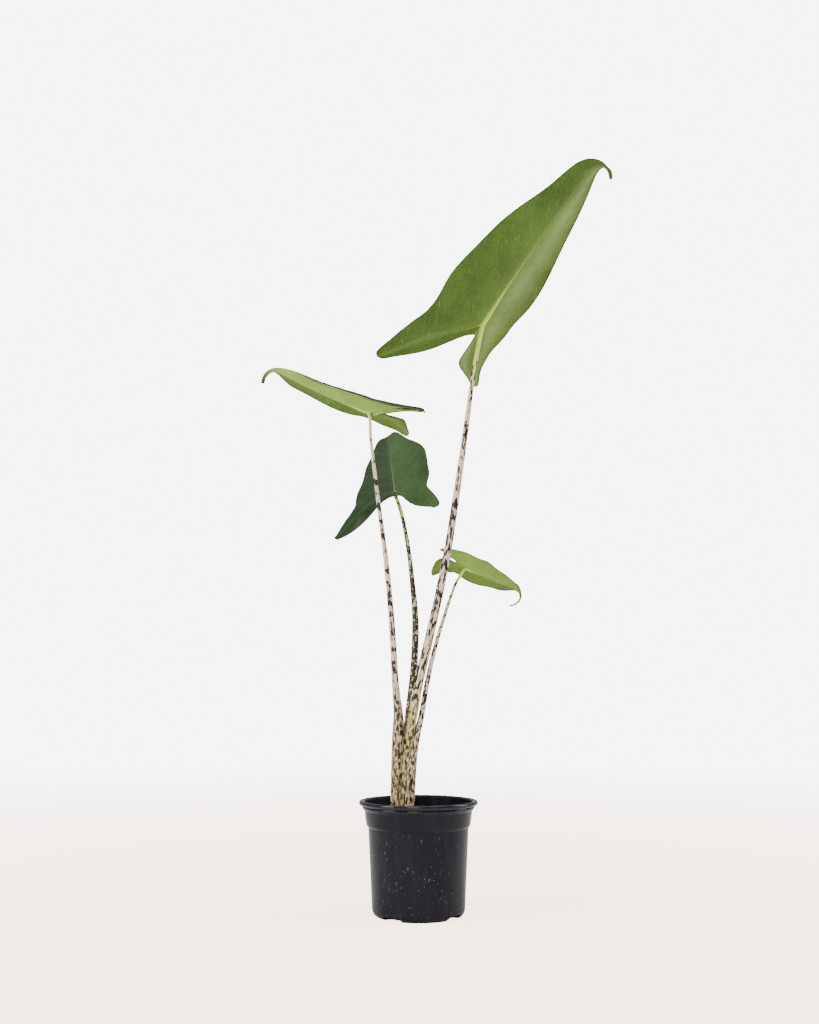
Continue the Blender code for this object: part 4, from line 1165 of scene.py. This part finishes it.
def petiole_course(key):
    """Route from the corm, into the midrib's under side and a little way along it."""
    leaf = LEAVES[key]
    axes = leaf_axes(leaf)
    radius = PETIOLES[key][-1][3]
    course = list(PETIOLES[key])
    under = BLADE + rib_depth(leaf, 0.0) * 0.55
    end = np.array(leaf["at"]) - axes[:, 2] * (under + radius * 0.5)
    course.append((*end, radius * 0.95))
    for share, width, sink in ((0.05, 0.80, 0.45), (0.12, 0.55, 0.25), (0.2, 0.35, 0.05)):
        spot = placed(leaf, np.array([[0.0, share]]), 0)[0]
        spot = spot - axes[:, 2] * (under + radius * sink)
        course.append((*spot, radius * width))
    return course


def level_centres(key, levels):
    """Centre and radius of a petiole at each height in the bundle."""
    course = spline(PETIOLES[key], np.linspace(0, 1, LEVEL_STEPS))
    return np.stack([np.interp(levels, course[:, 2], course[:, c]) for c in (0, 1, 3)], 1)


def petiole_rings(key, inside, sides):
    """Rings up the petiole with the centre and radius of each.

    In the bundle a ring is level and hollowed by the petioles inside it.
    """
    turns = np.linspace(0, math.tau, sides, endpoint=False)
    level_round = np.stack([np.cos(turns), np.sin(turns), 0 * turns], 1)
    levels = np.arange(PETIOLES[key][0][2], BUNDLE_TOP + BUNDLE_MARGIN, BUNDLE_RING)
    rings, spine = [], []
    for level in levels:
        x, y, radius = level_centres(key, np.array([level]))[0]
        reach = np.full(sides, radius)
        for other in inside:
            ox, oy, size = level_centres(other, np.array([level]))[0]
            size += BASE_CLEARANCE * 0.3        # bases nest closer than their solids do
            near = (ox - x) * np.cos(turns) + (oy - y) * np.sin(turns)
            miss = (ox - x) ** 2 + (oy - y) ** 2 - near ** 2
            hit = (near > 0) & (miss < size * size)
            reach = np.where(hit, np.minimum(reach, near - np.sqrt(np.maximum(size * size - miss, 0))), reach)
        rings.append(np.array([x, y, level]) + level_round * reach[:, None])
        spine.append((x, y, level, radius))
    course = petiole_course(key)
    run = np.linspace(0, 1, RUN_STEPS)
    climbing = slice(RUN_STEPS * 2 // 3)        # in this part of its run the petiole only climbs
    start = np.interp(levels[-1] + 0.004, spline(course, run)[climbing, 2], run[climbing])
    marks = np.linspace(start, 1.0, STALK_RINGS)
    path = spline(course, marks)
    ahead, behind = (spline(course, np.clip(marks + step, 0, 1))[:, :3] for step in (0.003, -0.003))
    tangent = (ahead - behind) / np.linalg.norm(ahead - behind, axis=1)[:, None]
    cross = np.cross(tangent[0], (0.0, 1.0, 0.0))
    cross = -cross if cross[0] < 0 else cross
    for k in range(len(marks)):                 # carry the section along without turning it
        cross = cross - tangent[k] * (cross @ tangent[k])
        cross /= np.linalg.norm(cross)
        deep = np.cross(tangent[k], cross)
        deep = -deep if deep[1] < 0 else deep
        lift = smoothstep(k / 12)               # a dozen rings go over from level to leaning
        leaning_round = np.outer(np.cos(turns), cross) + np.outer(np.sin(turns), deep)
        rings.append(path[k, :3] + path[k, 3] * (leaning_round * lift + level_round * (1 - lift)))
        spine.append(tuple(path[k]))
    return rings, np.array(spine)


def threshold(share):
    """Value that this share of a noise pattern lies above; none and all are out of its reach."""
    return NormalDist(0.5, NOISE_SPREAD).inv_cdf(1 - min(max(share, 0.002), 0.998))


# Tints, the share of dark skin and the plain top go by shares of the petiole's length from its
# base. Bands are how many per metre across and along, and how far they lean. Net is how far up
# the skin, in metres, the net reaches.
PETIOLE_LOOKS = {
    "tall": dict(tints=[(0.0, "#F6EA92"), (0.20, "#FAEE9C"), (0.29, "#F4E2AE"), (0.40, "#F3DCBC"),
                        (0.55, "#F5DAC2"), (0.78, "#F6DEBC"), (0.83, "#FCF09C"), (0.88, "#F2FC6C"),
                        (0.95, "#CDEA58")],
                 dark=[(0.0, 0.11), (0.17, 0.18), (0.25, 0.48), (0.50, 0.48), (0.60, 0.40),
                       (0.70, 0.32), (0.81, 0.26), (0.85, 0.14), (0.88, 0.0)],
                 bands=(250.0, 118.0, 0.30), ragged=0.80, grain=0.55, halo=0.45, net=0.118, seed=1,
                 plain=0.90),
    "left": dict(tints=[(0.0, "#F4DE9A"), (0.20, "#F6DCA6"), (0.30, "#F8DCBC"), (0.60, "#FAE0C6"),
                        (0.86, "#F6DECA"), (0.92, "#EEEAA0"), (0.96, "#CFF05A")],
                 dark=[(0.0, 0.12), (0.20, 0.18), (0.28, 0.46), (0.42, 0.42), (0.50, 0.28), (0.82, 0.26),
                       (0.90, 0.20), (0.93, 0.0)],
                 bands=(105.0, 128.0, 0.12), ragged=0.75, grain=0.60, halo=0.50, net=0.128, seed=2,
                 plain=0.93),
    "back": dict(tints=[(0.0, "#F0E890"), (0.26, "#E2DA94"), (0.45, "#CCC48C"), (0.72, "#C4C882"),
                        (0.84, "#BAD066"), (1.0, "#C4E068")],
                 dark=[(0.0, 0.12), (0.22, 0.28), (0.30, 0.80), (0.66, 0.82), (0.76, 0.56),
                       (0.90, 0.44), (0.97, 0.20), (1.0, 0.0)],
                 bands=(270.0, 250.0, 0.20), ragged=0.60, grain=0.30, halo=0.25, net=0.110, seed=3,
                 plain=0.99),
    "low": dict(tints=[(0.0, "#F6E0A2"), (0.36, "#F6E0C0"), (0.50, "#F7E0CE"), (0.80, "#E8D2B4"),
                       (0.88, "#E0E096"), (0.93, "#E6F868")],
                dark=[(0.0, 0.15), (0.30, 0.27), (0.45, 0.30), (0.86, 0.36), (0.91, 0.06), (0.93, 0.0)],
                bands=(250.0, 215.0, 0.25), ragged=0.45, grain=0.40, halo=0.45, net=0.100, seed=4,
                plain=0.92),
}


def mottled_petiole_skin(key, looks):
    """Petiole skin: smooth, waxy and pale, with ragged dark bands that break up into streaks.

    The nested bases are yellowish with an olive net, and the top is plain pale green. Patterns
    lie on the skin as it would be unrolled, in metres, so they follow the bends.
    """
    marks = PETIOLE_LOOKS[key]
    made, tree = new_material("petiole_skin_" + key)
    skin = node(tree, "ShaderNodeAttribute", out="Vector", attribute_name="skin")
    climb = node(tree, "ShaderNodeAttribute", out="Fac", attribute_name="climb")
    length = node(tree, "ShaderNodeSeparateXYZ", {"Vector": skin}, out="Z")
    across, along, lean = marks["bands"]
    # each petiole's seed shifts its patterns
    shift = node(tree, "ShaderNodeMapping", {"Vector": skin, "Location": (marks["seed"] * 3.7, 0.0, 0.0),
                                             "Rotation": (0.0, lean, 0.0),
                                             "Scale": (across, across, along)})
    bands = node(tree, "ShaderNodeTexNoise", {"Vector": shift, "Scale": 1.0, "Detail": 1.5})
    sheath = node(tree, "ShaderNodeMapRange", {"Value": length, "From Min": marks["net"] + 0.030,
                                               "From Max": marks["net"]})
    # blotches 2.5 mm wide and 6 mm long on the nested bases
    patches = node(tree, "ShaderNodeMapping", {"Vector": skin, "Location": (marks["seed"] * 1.3, 0.0, 0.0),
                                               "Rotation": (0.0, -0.4, 0.0),
                                               "Scale": (400.0, 400.0, 165.0)})
    patches = node(tree, "ShaderNodeTexNoise", {"Vector": patches, "Scale": 1.0, "Detail": 1.5})
    bands = node(tree, "ShaderNodeMix", {"Factor": sheath, "A": bands, "B": patches})
    # streaks 1 mm wide and 6 mm long
    fine = node(tree, "ShaderNodeMapping", {"Vector": skin, "Location": (marks["seed"] * 2.1, 0.0, 0.0),
                                            "Rotation": (0.0, lean * 0.5, 0.0),
                                            "Scale": (520.0, 520.0, 85.0)})
    streak = node(tree, "ShaderNodeTexNoise", {"Vector": fine, "Scale": 1.0, "Detail": 2.0})
    ragged = node(tree, "ShaderNodeMath", {0: streak, 1: 0.5}, operation='SUBTRACT')
    ragged = node(tree, "ShaderNodeMath", {0: ragged, 1: marks["ragged"], 2: bands},
                  operation='MULTIPLY_ADD')
    edge = node(tree, "ShaderNodeValToRGB", {"Fac": climb},
                stops=[(place, threshold(share)) for place, share in marks["dark"]])
    over = node(tree, "ShaderNodeMath", {0: ragged, 1: edge}, operation='SUBTRACT')
    marked = node(tree, "ShaderNodeMapRange", {"Value": climb, "From Min": marks["plain"],
                                               "From Max": marks["plain"] - 0.05})
    dark = node(tree, "ShaderNodeMapRange", {"Value": over, "From Min": -0.012, "From Max": 0.03})
    halo = node(tree, "ShaderNodeMapRange", {"Value": over, "From Min": -0.09, "From Max": 0.0,
                                             "To Max": marks["halo"]})
    halo = node(tree, "ShaderNodeMath", {0: halo, 1: marked}, operation='MULTIPLY')
    base = node(tree, "ShaderNodeValToRGB", {"Fac": climb},
                stops=[(place, linear(code)) for place, code in marks["tints"]])
    grain = node(tree, "ShaderNodeMapRange", {"Value": streak, "From Min": 0.48, "From Max": 0.68,
                                              "To Max": marks["grain"]})
    grain = node(tree, "ShaderNodeMath", {0: grain, 1: marked}, operation='MULTIPLY')
    base = node(tree, "ShaderNodeMix", {"Factor": grain, "A": base, "B": tuple(looks.halo)},
                data_type='RGBA')
    base = node(tree, "ShaderNodeMix", {"Factor": halo, "A": base, "B": tuple(looks.halo)},
                data_type='RGBA')
    # net of cells 3 mm wide and 9 mm tall on the nested bases
    wobble = node(tree, "ShaderNodeTexNoise", {"Vector": skin, "Scale": 240.0, "Detail": 2.0},
                  out="Color")
    wobble = node(tree, "ShaderNodeVectorMath", {0: wobble, "Scale": 0.9}, operation='SCALE')
    stretched = node(tree, "ShaderNodeMapping", {"Vector": skin, "Scale": (330.0, 330.0, 110.0)})
    bent = node(tree, "ShaderNodeVectorMath", {0: stretched, 1: wobble}, operation='ADD')
    net = node(tree, "ShaderNodeTexVoronoi", {"Vector": bent, "Scale": 1.0}, feature='DISTANCE_TO_EDGE')
    net = node(tree, "ShaderNodeMapRange", {"Value": net, "From Min": 0.32, "From Max": 0.08})
    broken = node(tree, "ShaderNodeMapRange", {"Value": patches, "From Min": 0.38, "From Max": 0.55,
                                               "To Min": 0.45, "To Max": 1.0})
    net = node(tree, "ShaderNodeMath", {0: node(tree, "ShaderNodeMath", {0: net, 1: sheath},
                                                operation='MULTIPLY'), 1: broken}, operation='MULTIPLY')
    base = node(tree, "ShaderNodeMix", {"Factor": net, "A": base, "B": tuple(looks.net)},
                data_type='RGBA')
    colour = node(tree, "ShaderNodeMix", {"Factor": dark, "A": base, "B": tuple(looks.band)},
                  data_type='RGBA')
    bump = node(tree, "ShaderNodeBump", {"Height": streak, "Strength": 0.25, "Distance": 0.0004},
                out="Normal")
    surface = node(tree, "ShaderNodeBsdfPrincipled",
                   {"Base Color": colour, "Normal": bump, "Roughness": 0.34, "IOR": 1.45,
                    "Specular IOR Level": 0.45})
    node(tree, "ShaderNodeOutputMaterial", {"Surface": surface})
    return made


def build_petioles(looks):
    """Closed stalks, the ones inside first, with the unrolled skin that their patterns lie on."""
    sides = STALK_SIDES
    turns = np.linspace(0, math.tau, sides, endpoint=False)
    for order, key in enumerate(NESTING):
        rings, spine = petiole_rings(key, NESTING[:order], sides)
        count = len(rings) * sides
        verts = np.vstack([*rings, rings[0].mean(0), rings[-1].mean(0)])
        faces = [[i + k, i + (k + 1) % sides, i + sides + (k + 1) % sides, i + sides + k]
                 for i in range(0, count - sides, sides) for k in range(sides)]
        for k in range(sides):
            n = (k + 1) % sides
            faces += [[n, k, count], [count - sides + k, count - sides + n, count + 1]]
        stalk = object_from("stalk_" + key, verts, faces, [mottled_petiole_skin(key, looks)], sharp=55)
        face_out(stalk.data)
        run = np.concatenate([[0.0], np.cumsum(np.linalg.norm(np.diff(spine[:, :3], axis=0), axis=1))])
        unrolled = np.stack([np.outer(spine[:, 3], np.cos(turns)), np.outer(spine[:, 3], np.sin(turns)),
                             np.outer(run, np.ones(sides))], 2).reshape(-1, 3)
        put_attribute(stalk.data, "skin", np.vstack([unrolled, (0, 0, 0), (0, 0, run[-1])]), 'FLOAT_VECTOR')
        put_attribute(stalk.data, "climb", np.append(np.repeat(run / run[-1], sides), (0.0, 1.0)))
        settle(stalk, ["petiole_" + key])


# ---- stage ---------------------------------------------------------------------------------------
def matt_paper(colour, warm):
    """Seamless paper, uncoated and matt: pale, and lit so evenly that shadows stay faint."""
    made, tree = new_material("matt_paper")
    place = node(tree, "ShaderNodeTexCoord", out="Object")
    away = node(tree, "ShaderNodeVectorMath", {0: place}, operation='LENGTH')
    fade = node(tree, "ShaderNodeMapRange", {"Value": away, "From Min": PAPER_FADE[0],
                                             "From Max": PAPER_FADE[1], "To Min": 1.0, "To Max": 0.0},
                interpolation_type='SMOOTHSTEP')
    seen = node(tree, "ShaderNodeLightPath", out="Is Camera Ray")
    plain = node(tree, "ShaderNodeBsdfDiffuse", {"Color": colour})
    bright = node(tree, "ShaderNodeBsdfDiffuse", {"Color": tuple(v * PAPER_GAIN for v in colour)})
    glow = node(tree, "ShaderNodeEmission", {"Color": warm, "Strength": PAPER_GLOW})
    lit = node(tree, "ShaderNodeAddShader", {0: bright, 1: glow})
    paper = node(tree, "ShaderNodeMixShader", {"Fac": seen, 1: plain, 2: lit})
    clear = node(tree, "ShaderNodeBsdfTransparent")
    both = node(tree, "ShaderNodeMixShader", {"Fac": fade, 1: clear, 2: paper})
    node(tree, "ShaderNodeOutputMaterial", {"Surface": both})
    return made


def soft_box(name, place, size, radiance):
    """Soft box of this radiance that faces the plant and isn't seen itself."""
    light = bpy.data.lights.new(name, 'AREA')
    light.shape = 'RECTANGLE'
    light.size, light.size_y = size
    light.energy = math.pi * size[0] * size[1] * radiance
    made = bpy.data.objects.new(name, light)
    bpy.context.scene.collection.objects.link(made)
    made.location = place
    made.visible_camera = False
    to = np.array(LIGHTS_FACE) - np.array(place)
    made.rotation_euler = (math.atan2(math.hypot(to[0], to[1]), -to[2]), 0.0,
                           math.atan2(to[1], to[0]) - math.pi / 2)


def pale_room(colour):
    """World that lights softly and looks as bright as the paper."""
    world = bpy.data.worlds.new("pale_room")
    world.use_nodes = True
    tree = world.node_tree
    tree.nodes.clear()
    seen = node(tree, "ShaderNodeLightPath", out="Is Camera Ray")
    light = node(tree, "ShaderNodeBackground", {"Color": colour, "Strength": ROOM_LIGHT})
    wall = node(tree, "ShaderNodeBackground", {"Color": colour, "Strength": ROOM_GLOW})
    node(tree, "ShaderNodeOutputWorld",
         {"Surface": node(tree, "ShaderNodeMixShader", {"Fac": seen, 1: light, 2: wall})})
    return world


def build_stage(sizes):
    """Paper floor, pale room, soft boxes and the camera."""
    bm = bmesh.new()
    bmesh.ops.create_circle(bm, cap_ends=True, segments=FLOOR_SIDES, radius=PAPER_RADIUS)
    mesh = bpy.data.meshes.new("paper_floor")
    bm.to_mesh(mesh)
    bm.free()
    paper = matt_paper(tuple(sizes.floor), tuple(sizes.glow))
    object_of("paper_floor", mesh, [paper], sharp=0)
    bpy.context.scene.world = pale_room(tuple(sizes.room))
    for name, place, size, radiance in SOFT_BOXES:
        soft_box(name, place, size, radiance)
    lens = bpy.data.cameras.new("camera")
    lens.lens = sizes.lens
    camera = bpy.data.objects.new("camera", lens)
    bpy.context.scene.collection.objects.link(camera)
    camera.location = sizes.eye
    camera.rotation_euler = (math.pi / 2 + sizes.tilt, 0.0, 0.0)
    bpy.context.scene.camera = camera


# ---- add-on --------------------------------------------------------------------------------------
class ALOCASIA_OT_stage(bpy.types.Operator):
    """Make the floor, the lights and the camera"""
    bl_idname = "alocasia.stage"
    bl_label = "Stage"

    def execute(self, context):
        build_stage(context.scene.alocasia_stage)
        return {'FINISHED'}


class ALOCASIA_OT_pot(bpy.types.Operator):
    """Make the nursery pot with its rim, step and drain slots"""
    bl_idname = "alocasia.pot"
    bl_label = "Nursery Pot"

    def execute(self, context):
        build_pot(context.scene.alocasia_pot)
        return {'FINISHED'}


class ALOCASIA_OT_soil(bpy.types.Operator):
    """Fill the pot with soil and scatter crumbs on it"""
    bl_idname = "alocasia.soil"
    bl_label = "Potting Soil"

    def execute(self, context):
        build_soil(context.scene.alocasia_soil)
        return {'FINISHED'}


class ALOCASIA_OT_corm(bpy.types.Operator):
    """Give the corm its skin"""
    bl_idname = "alocasia.corm"
    bl_label = "Corm"

    def execute(self, context):
        build_corm()
        return {'FINISHED'}


class ALOCASIA_OT_petioles(bpy.types.Operator):
    """Make the four spotted petioles with their nested bases"""
    bl_idname = "alocasia.petioles"
    bl_label = "Petioles"

    def execute(self, context):
        build_petioles(context.scene.alocasia_petioles)
        return {'FINISHED'}


class ALOCASIA_OT_blades(bpy.types.Operator):
    """Make the four leaf blades"""
    bl_idname = "alocasia.blades"
    bl_label = "Leaf Blades"

    def execute(self, context):
        looks = context.scene.alocasia_leaves
        upper = leaf_skin("leaf_upper_side", looks, half_tones("upper", looks), True, PAINTED_SHEEN["upper"])
        for key, leaf in LEAVES.items():
            build_blade(key, leaf, looks, upper)
        return {'FINISHED'}


class ALOCASIA_OT_veins(bpy.types.Operator):
    """Raise the side veins under the blades"""
    bl_idname = "alocasia.veins"
    bl_label = "Side Veins"

    def execute(self, context):
        build_veins(context.scene.alocasia_leaves)
        return {'FINISHED'}


OPERATORS = (ALOCASIA_OT_stage, ALOCASIA_OT_pot, ALOCASIA_OT_soil, ALOCASIA_OT_corm,
             ALOCASIA_OT_petioles, ALOCASIA_OT_blades, ALOCASIA_OT_veins)
GROUPS = {"alocasia_pot": AlocasiaPot, "alocasia_soil": AlocasiaSoil, "alocasia_leaves": AlocasiaLeaves,
          "alocasia_petioles": AlocasiaPetioles, "alocasia_stage": AlocasiaStage}


class ALOCASIA_PT_panel(bpy.types.Panel):
    """Panel with the sizes, the colours and the builders"""
    bl_label = "Potted Alocasia"
    bl_idname = "ALOCASIA_PT_panel"
    bl_space_type = 'VIEW_3D'
    bl_region_type = 'UI'
    bl_category = "Alocasia"

    def draw(self, context):
        for operator in OPERATORS:
            self.layout.operator(operator.bl_idname)
        for name, group in GROUPS.items():
            box = self.layout.box()
            for prop in group.__annotations__:
                box.prop(getattr(context.scene, name), prop)


def register():
    for group in GROUPS.values():
        bpy.utils.register_class(group)
    for operator in (*OPERATORS, ALOCASIA_PT_panel):
        bpy.utils.register_class(operator)
    for name, group in GROUPS.items():
        setattr(bpy.types.Scene, name, PointerProperty(type=group))


def unregister():
    for name in GROUPS:
        delattr(bpy.types.Scene, name)
    for made in (ALOCASIA_PT_panel, *reversed(OPERATORS), *reversed(tuple(GROUPS.values()))):
        bpy.utils.unregister_class(made)


def main():
    register()
    bpy.ops.alocasia.stage()
    bpy.ops.alocasia.pot()
    bpy.ops.alocasia.soil()
    bpy.ops.alocasia.corm()
    bpy.ops.alocasia.petioles()
    bpy.ops.alocasia.blades()
    bpy.ops.alocasia.veins()


if __name__ == "__main__":
    main()
